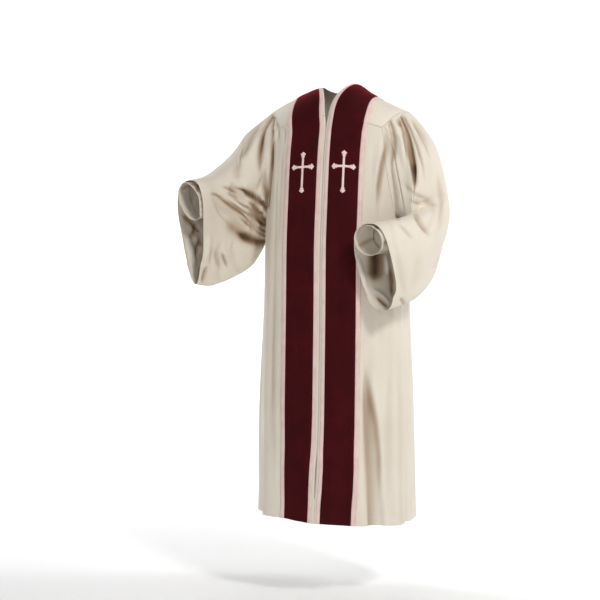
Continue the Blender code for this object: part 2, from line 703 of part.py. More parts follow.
def make_cross(side, name):
    """One raised cross with budded arms, on the velvet."""
    edge, inner, velvet, outer, trimmed = front_bands(CROSS_LEVEL)
    centre = (velvet + outer) / 2
    faces = bmesh.new()
    corners = {}

    def corner(across, down):
        key = (round(across, 6), round(down, 6))
        if key not in corners:
            corners[key] = faces.verts.new(cloth(side * centre + across, CROSS_LEVEL + down, CROSS_LIFT))
        return corners[key]

    def face(*spots):
        points = []
        for spot in spots:
            point = corner(*spot)
            if point not in points:
                points.append(point)
        if len(points) > 2:
            faces.faces.new(points)

    for x in (-CROSS_ARM, 0.0):
        for z in (-CROSS_ARM, 0.0):
            face((x, z), (x, z + CROSS_ARM), (x + CROSS_ARM, z + CROSS_ARM), (x + CROSS_ARM, z))
    for turn, length in (((0, 1), "down"), ((0, -1), "up"), ((1, 0), "side"), ((-1, 0), "side")):
        stations = cross_stations(CROSS_LENGTHS[length])
        for (near, near_half), (far, far_half) in zip(stations, stations[1:]):
            for half in (-1, 1):
                ring = [(near, 0.0), (near, half * near_half), (far, half * far_half), (far, 0.0)]
                spots = [(turn[0] * a - turn[1] * b, turn[1] * a + turn[0] * b) for a, b in ring]
                face(*(spots if half < 0 else spots[::-1]))
    bmesh.ops.triangulate(faces, faces=faces.faces[:])
    bmesh.ops.recalc_face_normals(faces, faces=faces.faces[:])
    faces.normal_update()
    if sum(found.normal.y for found in faces.faces) > 0:
        bmesh.ops.reverse_faces(faces, faces=faces.faces[:])
    add_wall(name, faces, CROSS_WALL, 1, TRIM)


for left_over in list(bpy.data.objects):
    bpy.data.objects.remove(left_over)
ROBE = bpy.data.collections.new("pulpit_robe")
bpy.context.scene.collection.children.link(ROBE)
IVORY = new_material("ivory_cloth", (0.72, 0.66, 0.57), 0.7, 0.2)
VELVET = new_material("maroon_velvet", (0.06, 0.006, 0.009), 0.85, 0.6)
TRIM = new_material("blush_trim", (0.86, 0.68, 0.64), 0.6)

make_yoke()
make_front(1, "front_left")
make_front(-1, "front_right")
make_back()
make_bands(1, "left")
make_bands(-1, "right")
make_cross(1, "cross_left")
make_cross(-1, "cross_right")
make_sleeve(1, "sleeve_left", LEFT_SLEEVE, LEFT_SLEEVE_FOLDS)
make_sleeve(-1, "sleeve_right", RIGHT_SLEEVE, RIGHT_SLEEVE_FOLDS)
make_cuff("cuff_left", LEFT_SLEEVE, LEFT_CUFF)
make_cuff("cuff_right", RIGHT_SLEEVE, RIGHT_CUFF)
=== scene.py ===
"""Pulpit robe: thin cloth pieces, trims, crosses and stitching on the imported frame.

Metres, +Z up, the front faces -Y and the wearer's left is +X. The cloth is the same function of two
lengths on it as in the part's source: round, from the closing line towards the side seam, and level,
from the shoulder ridge down the front (positive) or the back (negative).
"""
import math

import bpy
import numpy as np
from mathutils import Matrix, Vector


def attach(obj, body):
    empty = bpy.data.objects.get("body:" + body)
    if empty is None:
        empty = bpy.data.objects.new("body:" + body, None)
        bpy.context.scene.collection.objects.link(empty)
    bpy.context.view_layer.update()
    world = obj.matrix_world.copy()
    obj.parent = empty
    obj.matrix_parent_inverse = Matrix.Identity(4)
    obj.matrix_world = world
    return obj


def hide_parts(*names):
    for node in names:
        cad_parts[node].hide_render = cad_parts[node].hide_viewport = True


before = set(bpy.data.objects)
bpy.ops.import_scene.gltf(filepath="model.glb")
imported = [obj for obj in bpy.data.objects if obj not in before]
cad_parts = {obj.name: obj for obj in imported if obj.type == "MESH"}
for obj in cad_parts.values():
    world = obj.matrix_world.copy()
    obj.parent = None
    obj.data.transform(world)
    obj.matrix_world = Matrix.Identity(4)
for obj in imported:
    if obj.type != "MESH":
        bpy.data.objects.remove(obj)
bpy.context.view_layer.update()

# Sewing: gaps between pieces, the shell of the cloth and the wall of its solids, how seams and rows
# of stitches draw the cloth in, and how far from the edge each hem is sewn
SEAM_GAP = 0.0003
YOKE_GAP = 0.0004
SHELL = 0.0009
WALL = 0.002
SEAM_DRAW = {"depth": 0.0006, "reach": 0.0028}
ARMHOLE_DRAW = {"depth": 0.0003, "reach": 0.0028}
HEM_DRAW = {"depth": 0.0006, "reach": 0.0015}
CUFF_DRAW = {"depth": 0.0009, "reach": 0.0012}
HEM_TURN = 0.026
SLEEVE_TURN = 0.022
CUFF_TURN = 0.012

# The body of the robe
ROBE_DROP = 1.331
SIDE_REACH = 0.24
HEM_LIFT = 0.022
RIDGE_ARC = 0.17
RIDGE_DROP = 0.10
SLOPE_FADE = {"front": 0.42, "back": 0.32}
RING_POWER = 2.5
CLOSING_MARGIN = 0.0070
INNER_TRIM = 0.0120
VELVET_FRONT = 0.0925
OUTER_TRIM = 0.0155
BAND_END = 0.13
FRONT_YOKE = 0.168
BACK_YOKE = 0.172
UNDERARM = 0.555
HEM = ROBE_DROP - RIDGE_DROP + RIDGE_ARC

BODY = {
    "drop": (0.00, 0.10, 0.20, 0.35, 0.50, 0.70, 1.00, 1.36),
    "half_width": (0.216, 0.219, 0.222, 0.223, 0.224, 0.229, 0.237, 0.239),
    "front": (0.125, 0.137, 0.150, 0.160, 0.168, 0.180, 0.200, 0.218),
    "back": (0.112, 0.118, 0.130, 0.136, 0.140, 0.152, 0.176, 0.196),
    "middle_x": (0.004, 0.006, 0.002, -0.004, -0.008, -0.007, -0.005, -0.001),
    "middle_y": (0.014, 0.018, 0.020, 0.020, 0.018, 0.016, 0.012, 0.010),
    "closing_shift": (0.000, -0.005, -0.006, -0.004, -0.002, 0.000, 0.002, -0.009),
}
RIDGE = {
    "reach": (0.00, 0.05, 0.10, 0.16, 0.22),
    "left": (0.016, 0.020, -0.010, -0.042, -0.070),
    "right": (0.016, 0.011, -0.005, -0.030, -0.058),
}
CLOSING = {
    "drop": (0.097, 0.12, 0.14, 0.30, 1.10, 1.17, 1.22, 1.28, 1.36),
    "edge": (0.0045, 0.0015, 0.0002, 0.0002, 0.0002, 0.0020, 0.0020, 0.0003, 0.0003),
}
ARMHOLE = {
    "drop": (0.095, 0.215, 0.30, 0.38, 0.44, 0.47, 0.485),
    "front": (0.573, 0.610, 0.660, 0.735, 0.835, 0.925, 1.0),
    "back": (0.640, 0.660, 0.700, 0.765, 0.855, 0.935, 1.0),
}
YOKE = {
    "line": tuple(range(17)),
    "neck_round": (0.0045, 0.0090, 0.0150, 0.0230, 0.0320, 0.0410, 0.0475, 0.0505, 0.0495,
                   0.0450, 0.0385, 0.0320, 0.0255, 0.0190, 0.0125, 0.0060, 0.0),
    "neck_level": (0.1680, 0.1400, 0.1120, 0.0870, 0.0640, 0.0410, 0.0190, 0.0, -0.0200,
                   -0.0370, -0.0470, -0.0525, -0.0560, -0.0585, -0.0603, -0.0615, -0.0620),
    "outer_level": (0.1680, 0.1400, 0.1120, 0.0870, 0.0640, 0.0410, 0.0190, 0.0, -0.0500,
                    -0.1100) + (-0.1720,) * 7,
    "outer_round": (0.0, 0.1860, 0.1960, 0.2030, 0.2085, 0.2125, 0.2150, 0.2160, 0.2120,
                    0.2040, 0.0, 0.1550, 0.1240, 0.0930, 0.0620, 0.0310, 0.0),
    "velvet": (0.0925, 0.0915, 0.0880, 0.0810, 0.0740, 0.0670, 0.0620, 0.0590, 0.0570,
               0.0560) + (0.0550,) * 7,
    "margin": (0.0065, 0.0055, 0.0040, 0.0030, 0.0020, 0.0015, 0.0012) + (0.0010,) * 10,
}
YOKE_BACK_CORNER = 10
YOKE_LINE_STEP = 0.028
END_ROWS = {"top": 0.012, "hem": 0.03, "step": 0.003}
FRONT_STEP = 0.0062
BACK_STEP = 0.0066
STITCH_STEP = 0.004
STITCH_INSET = 0.004
RING_STEP = 0.004
FRONT_CELLS = {"band": 27, "cloth": 44, "crowding": 0.92}
CREASE_FREE = {"from": 0.002, "over": 0.012}
BAND_SHARE = 0.25
FRONT_FOLDS = (
    {"round": 0.195, "start": 0.80, "depth": -0.022, "width": 0.034},
    {"round": 0.275, "start": 0.55, "depth": 0.010, "width": 0.034},
    {"round": 0.330, "start": 0.60, "depth": -0.008, "width": 0.026},
    {"round": -0.010, "start": 0.95, "depth": 0.012, "width": 0.040},
    {"round": -0.115, "start": 0.95, "depth": -0.014, "width": 0.040},
    {"round": -0.190, "start": 0.25, "depth": 0.009, "width": 0.030},
    {"round": -0.245, "start": 0.35, "depth": -0.008, "width": 0.024},
    {"round": -0.300, "start": 0.45, "depth": 0.008, "width": 0.026},
)
FRONT_CALM = {"from": 0.88, "over": 0.12}
BACK_FLUTES = 10
BACK_CALM = {"from": 0.62, "over": 0.30}
# Shade painted into the back's troughs: the depth at which it is full, and the most of it
BACK_PAINTED_SHADE_DEPTH = 0.012
BACK_PAINTED_SHADE_MOST = 0.3
BACK_GATHERS = {"depth": 0.0011, "pitch": 0.0145, "rise": 0.006, "fall": 0.045}
BACK_GATHERS_CALM = {"from": 0.72, "over": 0.2}
FLUTE = {
    "drop": (0.10, 0.104, 0.12, 0.155, 0.22, 0.50, 0.90, 1.36),
    "depth": (0.0, 0.0, 0.0014, 0.0045, 0.0055, 0.0060, 0.0085, 0.0120),
}

# The sleeves, by share of the way along them and of the way round
RIGHT_SLEEVE = {
    "along": (0.0, 0.30, 0.55, 0.80, 1.0),
    "top_x": (-0.214, -0.304, -0.342, -0.380, -0.402),
    "top_y": (0.020, 0.000, -0.050, -0.140, -0.225),
    "top_z": (-0.058, -0.136, -0.202, -0.264, -0.282),
    "low_x": (-0.246, -0.280, -0.335, -0.380, -0.400),
    "low_y": (0.018, 0.000, -0.050, -0.130, -0.190),
    "low_z": (-0.480, -0.542, -0.585, -0.608, -0.602),
    "facing": (270.0, 282.0, 305.0, 332.0, 345.0),
    "front": (0.120, 0.118, 0.098, 0.070, 0.056),
    "rear": (0.110, 0.105, 0.086, 0.078, 0.072),
    "pinch": (0.30, 0.40, 0.50, 0.60, 0.65),
}
LEFT_SLEEVE = {
    "along": (0.0, 0.28, 0.52, 0.76, 1.0),
    "top_x": (0.217, 0.298, 0.326, 0.280, 0.172),
    "top_y": (0.020, 0.020, 0.020, -0.100, -0.235),
    "top_z": (-0.070, -0.172, -0.330, -0.388, -0.418),
    "low_x": (0.224, 0.256, 0.282, 0.258, 0.206),
    "low_y": (0.018, 0.000, -0.030, -0.115, -0.205),
    "low_z": (-0.480, -0.538, -0.594, -0.648, -0.676),
    "facing": (270.0, 262.0, 228.0, 185.0, 152.0),
    "front": (0.120, 0.115, 0.100, 0.085, 0.090),
    "rear": (0.110, 0.086, 0.054, 0.058, 0.066),
    "pinch": (0.30, 0.25, 0.20, 0.15, 0.15),
}
CUFF_START = 0.90
CUFF_RUN = 0.06
CUFF_RADIUS = 0.05
SLEEVE_GATHERS = 24
GATHER_KINDS = (
    {"length": (0.22, 0.48), "depth": (0.0045, 0.0085), "width": (0.009, 0.013)},
    {"length": (0.07, 0.20), "depth": (0.0025, 0.0045), "width": (0.006, 0.009)},
)
HEAD_FULLNESS = {"height": 0.0022, "rise": 0.06, "from": 0.3, "over": 0.3}
SPREAD_END = 0.28
SPREAD_LOW = 0.12
HEAD_RUN = 0.16
HEAD_END = 0.30
SLEEVE_GIRTH = 0.80
SLEEVE_RUN = 0.50
SLEEVE_FLAT = np.array((SLEEVE_RUN, SLEEVE_GIRTH))
FOLD_RISE = 0.08
FOLD_FALL = {"from": 0.80, "over": 0.12}
FOLD_SHARE = 0.55
CORNER_REACH = 0.030
CORNER_RISE = 0.12
CORNER_PASSES = 80
CALM_PASSES = 30
UNFOLD_PASSES = 90
UNFOLD_BELOW = 0.55
# Where the light painted on a sleeve's rear wall begins along the sleeve, and over how far it grows
PAINTED_LIGHT_RUN = {"from": 0.45, "over": 0.30}

# Large folds of the sleeves: where each starts and ends, by shares along and round, its height and
# half its width in metres
RIGHT_SLEEVE_FOLDS = (
    (((0.62, 0.36), (0.05, 0.15)), -0.022, 0.020),
    (((0.86, 0.36), (0.07, 0.07)), -0.018, 0.022),
    (((0.48, 0.28), (0.12, 0.11)), 0.010, 0.018),
    (((0.06, 0.45), (0.42, 0.41)), -0.010, 0.014),
    (((0.58, 0.13), (0.47, 0.02)), -0.012, 0.018),
    (((0.76, 0.16), (0.70, 0.02)), -0.010, 0.018),
    (((0.55, 0.66), (0.10, 0.86)), -0.016, 0.022),
    (((0.80, 0.66), (0.15, 0.95)), -0.014, 0.022),
)
LEFT_SLEEVE_FOLDS = (
    (((0.06, 0.42), (0.34, 0.28)), -0.014, 0.016),
    (((0.04, 0.34), (0.10, 0.16)), -0.010, 0.016),
    (((0.45, 0.38), (0.78, 0.64)), -0.012, 0.018),
    (((0.40, 0.24), (0.70, 0.12)), -0.012, 0.020),
    (((0.60, 0.56), (0.86, 0.76)), 0.008, 0.018),
    (((0.30, 0.62), (0.66, 0.84)), -0.014, 0.022),
    (((0.12, 0.60), (0.40, 0.90)), -0.012, 0.022),
)
CUFFS = {
    "right": {"half_height": 0.062, "half_width": 0.037, "lean": 26.0, "shift": 0.0, "room": 0.0036},
    "left": {"half_height": 0.046, "half_width": 0.056, "lean": 0.0, "shift": 0.008, "room": 0.0011},
}
CUFF_BEYOND = 0.010
CUFF_CLEAR = 0.0025
CUFF_CREASES = 7
# Depth of a cuff's creases at which the shade painted into them is full
CUFF_PAINTED_SHADE_DEPTH = 0.006
CROSS_LEVEL = 0.316

# The camera of the photograph
AZIMUTH = math.radians(17.0)
DISTANCE = 5.0
EYE = np.array((DISTANCE * math.sin(AZIMUTH), -DISTANCE * math.cos(AZIMUTH), -0.50))
AIM = np.array((-0.117 * math.cos(AZIMUTH), -0.117 * math.sin(AZIMUTH), -0.652))
LENS = 96.0
SENSOR = 36.0
PICTURE = 600

# How far cloth has to face that camera before creases laid out in the picture start to show, show in
# full height and show in full painted shade, and the share of a crease's length over which it fades
FACING_START = 0.02
RELIEF_FACING = 0.45
PAINTED_SHADE_FACING = 0.06
TAPER = 0.35


def tangents(keys, values):
    """Slopes of a smooth curve through the values that never overshoots."""
    slopes = np.diff(values) / np.diff(keys)
    found = np.zeros(len(keys))
    found[0] = slopes[0]
    found[-1] = slopes[-1]
    before, after = slopes[:-1], slopes[1:]
    same = before * after > 0
    found[1:-1][same] = 2 * before[same] * after[same] / (before[same] + after[same])
    return found


def curve(keys, values, at):
    """Smooth reading of a column of values at given keys."""
    keys = np.asarray(keys, float)
    values = np.asarray(values, float)
    slopes = tangents(keys, values)
    at = np.clip(np.asarray(at, float), keys[0], keys[-1])
    k = np.clip(np.searchsorted(keys, at) - 1, 0, len(keys) - 2)
    span = keys[k + 1] - keys[k]
    share = (at - keys[k]) / span
    square = share * share
    cube = square * share
    return ((2 * cube - 3 * square + 1) * values[k] + (cube - 2 * square + share) * span * slopes[k]
            + (3 * square - 2 * cube) * values[k + 1] + (cube - square) * span * slopes[k + 1])


def read(table, column, at):
    """Smooth reading of one column of a table at values of its first column."""
    return curve(table[next(iter(table))], table[column], at)


def ease(share):
    """Smooth step from 0 to 1."""
    share = np.clip(share, 0.0, 1.0)
    return share * share * (3 - 2 * share)


def drop_at(level):
    """How far below the ridge a level lies."""
    level = np.abs(level)
    rounded = RIDGE_DROP * (1 - np.cos(math.pi / 2 * np.minimum(level, RIDGE_ARC) / RIDGE_ARC))
    return np.where(level < RIDGE_ARC, rounded, RIDGE_DROP + level - RIDGE_ARC)


# Quarter rings of every depth for a half width of 1, by share of their length
RATIOS = np.linspace(0.0, 1.0, 81)
SHARES = np.linspace(0.0, 1.0, 401)
ANGLES = np.linspace(0, math.pi / 2, 160)
QUARTER_X = np.sin(ANGLES) ** (2 / RING_POWER)
QUARTER_Y = np.cos(ANGLES) ** (2 / RING_POWER)
QUARTER_Y[-1] = 0.0
TOTALS = np.zeros(len(RATIOS))
REACHES = np.zeros((len(RATIOS), len(SHARES)))
DEPTHS = np.zeros((len(RATIOS), len(SHARES)))
for row, ratio in enumerate(RATIOS):
    run = np.concatenate(([0.0], np.cumsum(np.hypot(np.diff(QUARTER_X), ratio * np.diff(QUARTER_Y)))))
    TOTALS[row] = run[-1]
    REACHES[row] = np.interp(SHARES * run[-1], run, QUARTER_X)
    DEPTHS[row] = np.interp(SHARES * run[-1], run, QUARTER_Y)


def between(grid, ratio, share):
    """Reading of a ring table between its rows and columns."""
    row = np.clip(ratio * (len(RATIOS) - 1), 0, len(RATIOS) - 1.001)
    column = np.clip(share * (len(SHARES) - 1), 0, len(SHARES) - 1.001)
    r, c = row.astype(int), column.astype(int)
    fr, fc = row - r, column - c
    return ((grid[r, c] * (1 - fc) + grid[r, c + 1] * fc) * (1 - fr)
            + (grid[r + 1, c] * (1 - fc) + grid[r + 1, c + 1] * fc) * fr)


def ring_size(level):
    """Half width, depth and half length of the body ring at a level."""
    drop = drop_at(level)
    filled = np.sin(math.pi / 2 * np.minimum(np.abs(level) / RIDGE_ARC, 1.0))
    width = read(BODY, "half_width", drop)
    depth = np.where(level >= 0, read(BODY, "front", drop), read(BODY, "back", drop)) * filled
    return width, depth, width * np.interp(depth / width, RATIOS, TOTALS)


def closing_shift(level):
    """How far round the ring the closing line lies."""
    return np.where(level > 0, read(BODY, "closing_shift", drop_at(level)), 0.0)


def side_round(level, side):
    """Length from the closing line, or the centre back, to the side seam."""
    return ring_size(level)[2] - side * closing_shift(level)


def fold_out(level, ring_round, half_length):
    """How far the large folds carry the cloth out."""
    drop = drop_at(level)
    share = ring_round / half_length
    calm = 1 - ease((np.abs(share) - BACK_CALM["from"]) / BACK_CALM["over"])
    wander = 0.10 * np.sin(3.1 * share + 2.0 * drop) + 0.05 * np.sin(9.0 * share - 3.0 * drop)
    uneven = 1 + 0.35 * np.sin(7.3 * share + 0.8) * np.cos(2.2 * drop + 4.0 * share)
    behind = calm * uneven * read(FLUTE, "depth", drop) * np.cos(math.pi * (BACK_FLUTES * share + wander))
    ahead = np.zeros_like(behind)
    for fold in FRONT_FOLDS:
        grown = ease((drop - fold["start"]) / (ROBE_DROP - fold["start"]))
        off = (ring_round - fold["round"]) / fold["width"]
        ahead = ahead + grown * fold["depth"] * np.exp(-off * off)
    ahead = ahead * (1 - ease((np.abs(share) - FRONT_CALM["from"]) / FRONT_CALM["over"]))
    return np.where(level < 0, behind, ahead)


def place(round_, level):
    """Points of the body cloth, on its outer face."""
    round_, level = np.broadcast_arrays(np.asarray(round_, float), np.asarray(level, float))
    width, depth, half_length = ring_size(level)
    drop = drop_at(level)
    ring_round = round_ + closing_shift(level)
    side = np.where(ring_round >= 0, 1.0, -1.0)
    facing = np.where(level >= 0, -1.0, 1.0)
    share = np.clip(np.abs(ring_round) / half_length, 0.0, 1.0)
    x = width * between(REACHES, depth / width, share)
    flat_y = between(DEPTHS, depth / width, share)
    slope_x = (x / width) ** (RING_POWER - 1) / width
    slope_y = flat_y ** (RING_POWER - 1) / np.maximum(depth, 1e-6)
    size = np.hypot(slope_x, slope_y)
    out = fold_out(level, ring_round, half_length)
    ridge = np.where(side > 0, read(RIDGE, "left", x), read(RIDGE, "right", x))
    fade = np.where(level >= 0, SLOPE_FADE["front"], SLOPE_FADE["back"])
    ridge = ridge * (1 - ease(np.abs(level) / fade))
    world_x = read(BODY, "middle_x", drop) + side * (x + out * slope_x / size)
    lift = HEM_LIFT * (0.5 - world_x / (2 * SIDE_REACH)) * drop / ROBE_DROP
    world_y = read(BODY, "middle_y", drop) + facing * (flat_y * depth + out * slope_y / size)
    return np.stack((world_x, world_y, ridge - drop + lift), axis=-1)


def unit(vectors):
    """Vectors made one long."""
    return vectors / np.maximum(np.linalg.norm(vectors, axis=-1, keepdims=True), 1e-12)


def cloth_normal(round_, level):
    """Directions out of the body cloth."""
    step = 0.003
    across = place(round_ + step, level) - place(round_ - step, level)
    along = place(round_, level + step) - place(round_, level - step)
    return unit(-np.cross(across, along))


def closing_edge(level):
    """Half gap between the closing edges."""
    return read(CLOSING, "edge", drop_at(level))


def armhole_round(level, side):
    """Where an armhole edge lies round the body, and below it the side seam."""
    drop = drop_at(level)
    share = np.where(level > 0, read(ARMHOLE, "front", drop), read(ARMHOLE, "back", drop))
    return share * side_round(level, side)


def front_bands(level):
    """Distances from the closing line to the band edges of a front."""
    edge = closing_edge(level)
    inner = edge + CLOSING_MARGIN
    velvet = inner + INNER_TRIM
    outer = velvet + VELVET_FRONT
    return edge, inner, velvet, outer, outer + OUTER_TRIM


def yoke_ends(line, side):
    """Neck end and outer end of cross lines of the yoke, as rounds and levels."""
    line = np.asarray(line, float)
    rounds = np.array(YOKE["outer_round"], float)
    levels = np.array(YOKE["outer_level"], float)
    for corner in (0, YOKE_BACK_CORNER):
        rounds[corner] = armhole_round(levels[corner], side)
    last = YOKE_BACK_CORNER + 1
    before = line <= YOKE_BACK_CORNER
    outer_round = np.where(before, curve(range(last), rounds[:last], line),
                           np.interp(line, range(len(rounds)), rounds))
    outer_level = np.where(before, curve(range(last), levels[:last], line),
                           np.interp(line, range(len(levels)), levels))
    return (read(YOKE, "neck_round", line), read(YOKE, "neck_level", line), outer_round, outer_level)


def yoke_place(line, side, distance):
    """Rounds and levels of points at distances from the neck edge on cross lines."""
    neck_round, neck_level, outer_round, outer_level = yoke_ends(line, side)
    span = np.hypot(outer_round - neck_round, outer_level - neck_level)
    share = distance / span
    return (side * (neck_round + share * (outer_round - neck_round)),
            neck_level + share * (outer_level - neck_level))


def yoke_span(line, side):
    """Lengths of cross lines of the yoke."""
    neck_round, neck_level, outer_round, outer_level = yoke_ends(line, side)
    return np.hypot(outer_round - neck_round, outer_level - neck_level)


def yoke_bands(line):
    """Distances from the neck edge to the band edges on cross lines of the yoke."""
    inner = read(YOKE, "margin", line)
    velvet = inner + INNER_TRIM
    outer = velvet + read(YOKE, "velvet", line)
    return inner, velvet, outer, outer + OUTER_TRIM


# Directions of the photograph's camera, for creases laid out as they show in it
AHEAD = (AIM - EYE) / np.linalg.norm(AIM - EYE)
RIGHT = np.cross(AHEAD, (0.0, 0.0, 1.0))
RIGHT /= np.linalg.norm(RIGHT)
UPWARD = np.cross(RIGHT, AHEAD)


def picture(points):
    """Where points lie in a picture of PICTURE by PICTURE from the camera."""
    away = points - EYE
    depth = away @ AHEAD
    scale = LENS / SENSOR * PICTURE
    return np.stack((PICTURE / 2 + scale * (away @ RIGHT) / depth,
                     PICTURE / 2 - scale * (away @ UPWARD) / depth), axis=-1)


def grid_normals(grid, closed=False):
    """Directions square to a grid of points."""
    if closed:
        across = np.roll(grid, -1, axis=1) - np.roll(grid, 1, axis=1)
    else:
        across = np.gradient(grid, axis=1)
    return unit(np.cross(across, np.gradient(grid, axis=0)))


def line_offset(spots, path):
    """Signed distance to a line of points, and the share of its length, for spots in a plane."""
    path = np.asarray(path, float)
    lengths = np.concatenate(([0.0], np.cumsum(np.hypot(*np.diff(path, axis=0).T))))
    best = np.full(spots.shape[:-1], np.inf)
    offset = np.zeros(spots.shape[:-1])
    share = np.zeros(spots.shape[:-1])
    for k in range(len(path) - 1):
        run = path[k + 1] - path[k]
        size = run @ run
        off = spots - path[k]
        part = np.clip((off @ run) / size, 0.0, 1.0)
        gap = off - part[..., None] * run
        far = np.hypot(gap[..., 0], gap[..., 1])
        side = np.sign(off[..., 0] * run[1] - off[..., 1] * run[0])
        nearer = far < best
        best = np.where(nearer, far, best)
        offset = np.where(nearer, far * side, offset)
        share = np.where(nearer, (lengths[k] + part * math.sqrt(size)) / lengths[-1], share)
    return offset, share


def creased(grid, normals, creases, facing=1.0):
    """Heights of creases laid out in the picture, and the shade painted into them, on the cloth that faces
    the camera; negative values paint light instead.
    """
    spots = picture(grid)
    faced = -(normals @ AHEAD) * facing
    height = np.zeros(grid.shape[:-1])
    shade_paint = np.zeros(grid.shape[:-1])
    for path, depth, width, kind, painted_tone in creases:
        offset, share = line_offset(spots, path)
        wide = width * (1 - TAPER + TAPER * np.sin(math.pi * np.clip(share, 0.02, 0.98)))
        first = 1.0 if kind in ("seam", "whole") else ease(share / TAPER)
        last = 1.0 if kind in ("root", "whole") else ease((1 - share) / TAPER)
        profile = np.exp(-(offset / wide) ** 2) * first * last
        height += depth * profile
        shade_paint += painted_tone * profile
    faced = faced - FACING_START
    return height * ease(faced / RELIEF_FACING), shade_paint * ease(faced / PAINTED_SHADE_FACING)


def new_mesh(name, points, faces, uvs=None, attributes=None):
    """Object from arrays of points and faces, with smooth faces."""
    mesh = bpy.data.meshes.new(name)
    mesh.from_pydata(points.tolist(), [], faces.tolist() if hasattr(faces, "tolist") else faces)
    mesh.update()
    if uvs is not None:
        layer = mesh.uv_layers.new(name="cloth")
        loops = np.empty(len(mesh.loops), dtype=np.int32)
        mesh.loops.foreach_get("vertex_index", loops)
        layer.data.foreach_set("uv", uvs[loops].astype(np.float32).ravel())
    for key, values in (attributes or {}).items():
        made = mesh.attributes.new(key, "FLOAT", "POINT")
        made.data.foreach_set("value", values.astype(np.float32).ravel())
    mesh.shade_smooth()
    piece = bpy.data.objects.new(name, mesh)
    bpy.context.scene.collection.objects.link(piece)
    return piece


def quads(rows, columns, closed=False, turned=False):
    """Corners of the faces between the points of a grid, whose columns may close on themselves."""
    index = np.arange(rows * columns).reshape(rows, columns)
    if closed:
        index = np.concatenate((index, index[:, :1]), axis=1)
    a, b = index[:-1, :-1], index[:-1, 1:]
    c, d = index[1:, 1:], index[1:, :-1]
    return np.stack((a, d, c, b) if turned else (a, b, c, d), axis=-1).reshape(-1, 4)


def grid_piece(name, grid, outward, uv, shell, closed=False, **attributes):
    """Thin shell through a grid of points; its outer face is the grid."""
    facing = np.sum(np.cross(np.gradient(grid, axis=0), np.gradient(grid, axis=1)) * outward)
    faces = quads(*grid.shape[:2], closed, facing > 0)
    flat = {key: np.clip(values, 0, 1).reshape(-1) for key, values in attributes.items()}
    piece = new_mesh(name, grid.reshape(-1, 3), faces, uv.reshape(-1, 2), flat)
    solid = piece.modifiers.new("shell", "SOLIDIFY")
    solid.thickness = shell
    solid.offset = -1
    solid.use_even_offset = False
    return piece


def spaced(first, last, step):
    """Even values between two ends, about a step apart."""
    return np.linspace(first, last, max(2, int(round(abs(last - first) / step)) + 1))


def joined(*stretches):
    """Even values over stretches that follow on: a first value, a last and a count for each."""
    parts = [np.linspace(*stretch) for stretch in stretches]
    return np.concatenate([part[:-1] for part in parts[:-1]] + parts[-1:])


def drawn_in(distance, sewing):
    """How far a seam or a row of stitches draws the cloth in at a distance from it."""
    return -sewing["depth"] * np.exp(-(distance / sewing["reach"]) ** 2)


def facing_away(normals):
    """Share of the hidden creases that cloth has, from 0 where it faces the photograph's camera."""
    return 1 - ease((-(normals @ AHEAD) + 0.05) / 0.3)


def panel_levels(top, step):
    """Levels of a panel's rows from the yoke seam to the hem, closer together at both."""
    upper, lower = top + END_ROWS["top"], HEM - END_ROWS["hem"]
    return np.concatenate((spaced(top + YOKE_GAP, upper, END_ROWS["step"])[:-1],
                           spaced(upper, lower, step)[:-1], spaced(lower, HEM, END_ROWS["step"])))


# Soft creases of the body that the large folds leave out: where each starts and ends, by its round
# and level, how far it stands out (in, if negative) and half its width, all in metres
FRONT_CREASES = (
    (((0.150, 0.190), (0.158, 0.620)), -0.0022, 0.010),
    (((0.178, 0.260), (0.184, 0.900)), -0.0026, 0.012),
    (((0.232, 0.560), (0.238, 1.300)), 0.0050, 0.016),
    (((0.298, 0.620), (0.312, 1.380)), -0.0045, 0.014),
    (((0.215, 0.880), (0.222, 1.395)), -0.0040, 0.012),
    (((0.152, 0.820), (0.150, 1.395)), -0.0050, 0.012),
    (((-0.146, 0.190), (-0.150, 0.560)), -0.0018, 0.008),
    (((-0.165, 0.300), (-0.168, 1.100)), -0.0030, 0.010),
    (((-0.214, 0.620), (-0.222, 1.395)), -0.0042, 0.012),
    (((-0.270, 0.600), (-0.284, 1.395)), -0.0050, 0.014),
    (((-0.322, 0.700), (-0.330, 1.395)), 0.0040, 0.012),
)


def body_creases(round_, level):
    """Height of the soft creases on the body cloth."""
    spots = np.stack(np.broadcast_arrays(round_, level), axis=-1)
    height = np.zeros(spots.shape[:-1])
    for path, depth, width in FRONT_CREASES:
        offset, share = line_offset(spots, path)
        wide = width * (0.7 + 0.5 * share)
        fading = np.minimum(ease(share / 0.25), ease((1.05 - share) / 0.2))
        height += depth * np.exp(-(offset / wide) ** 2) * fading
    return height
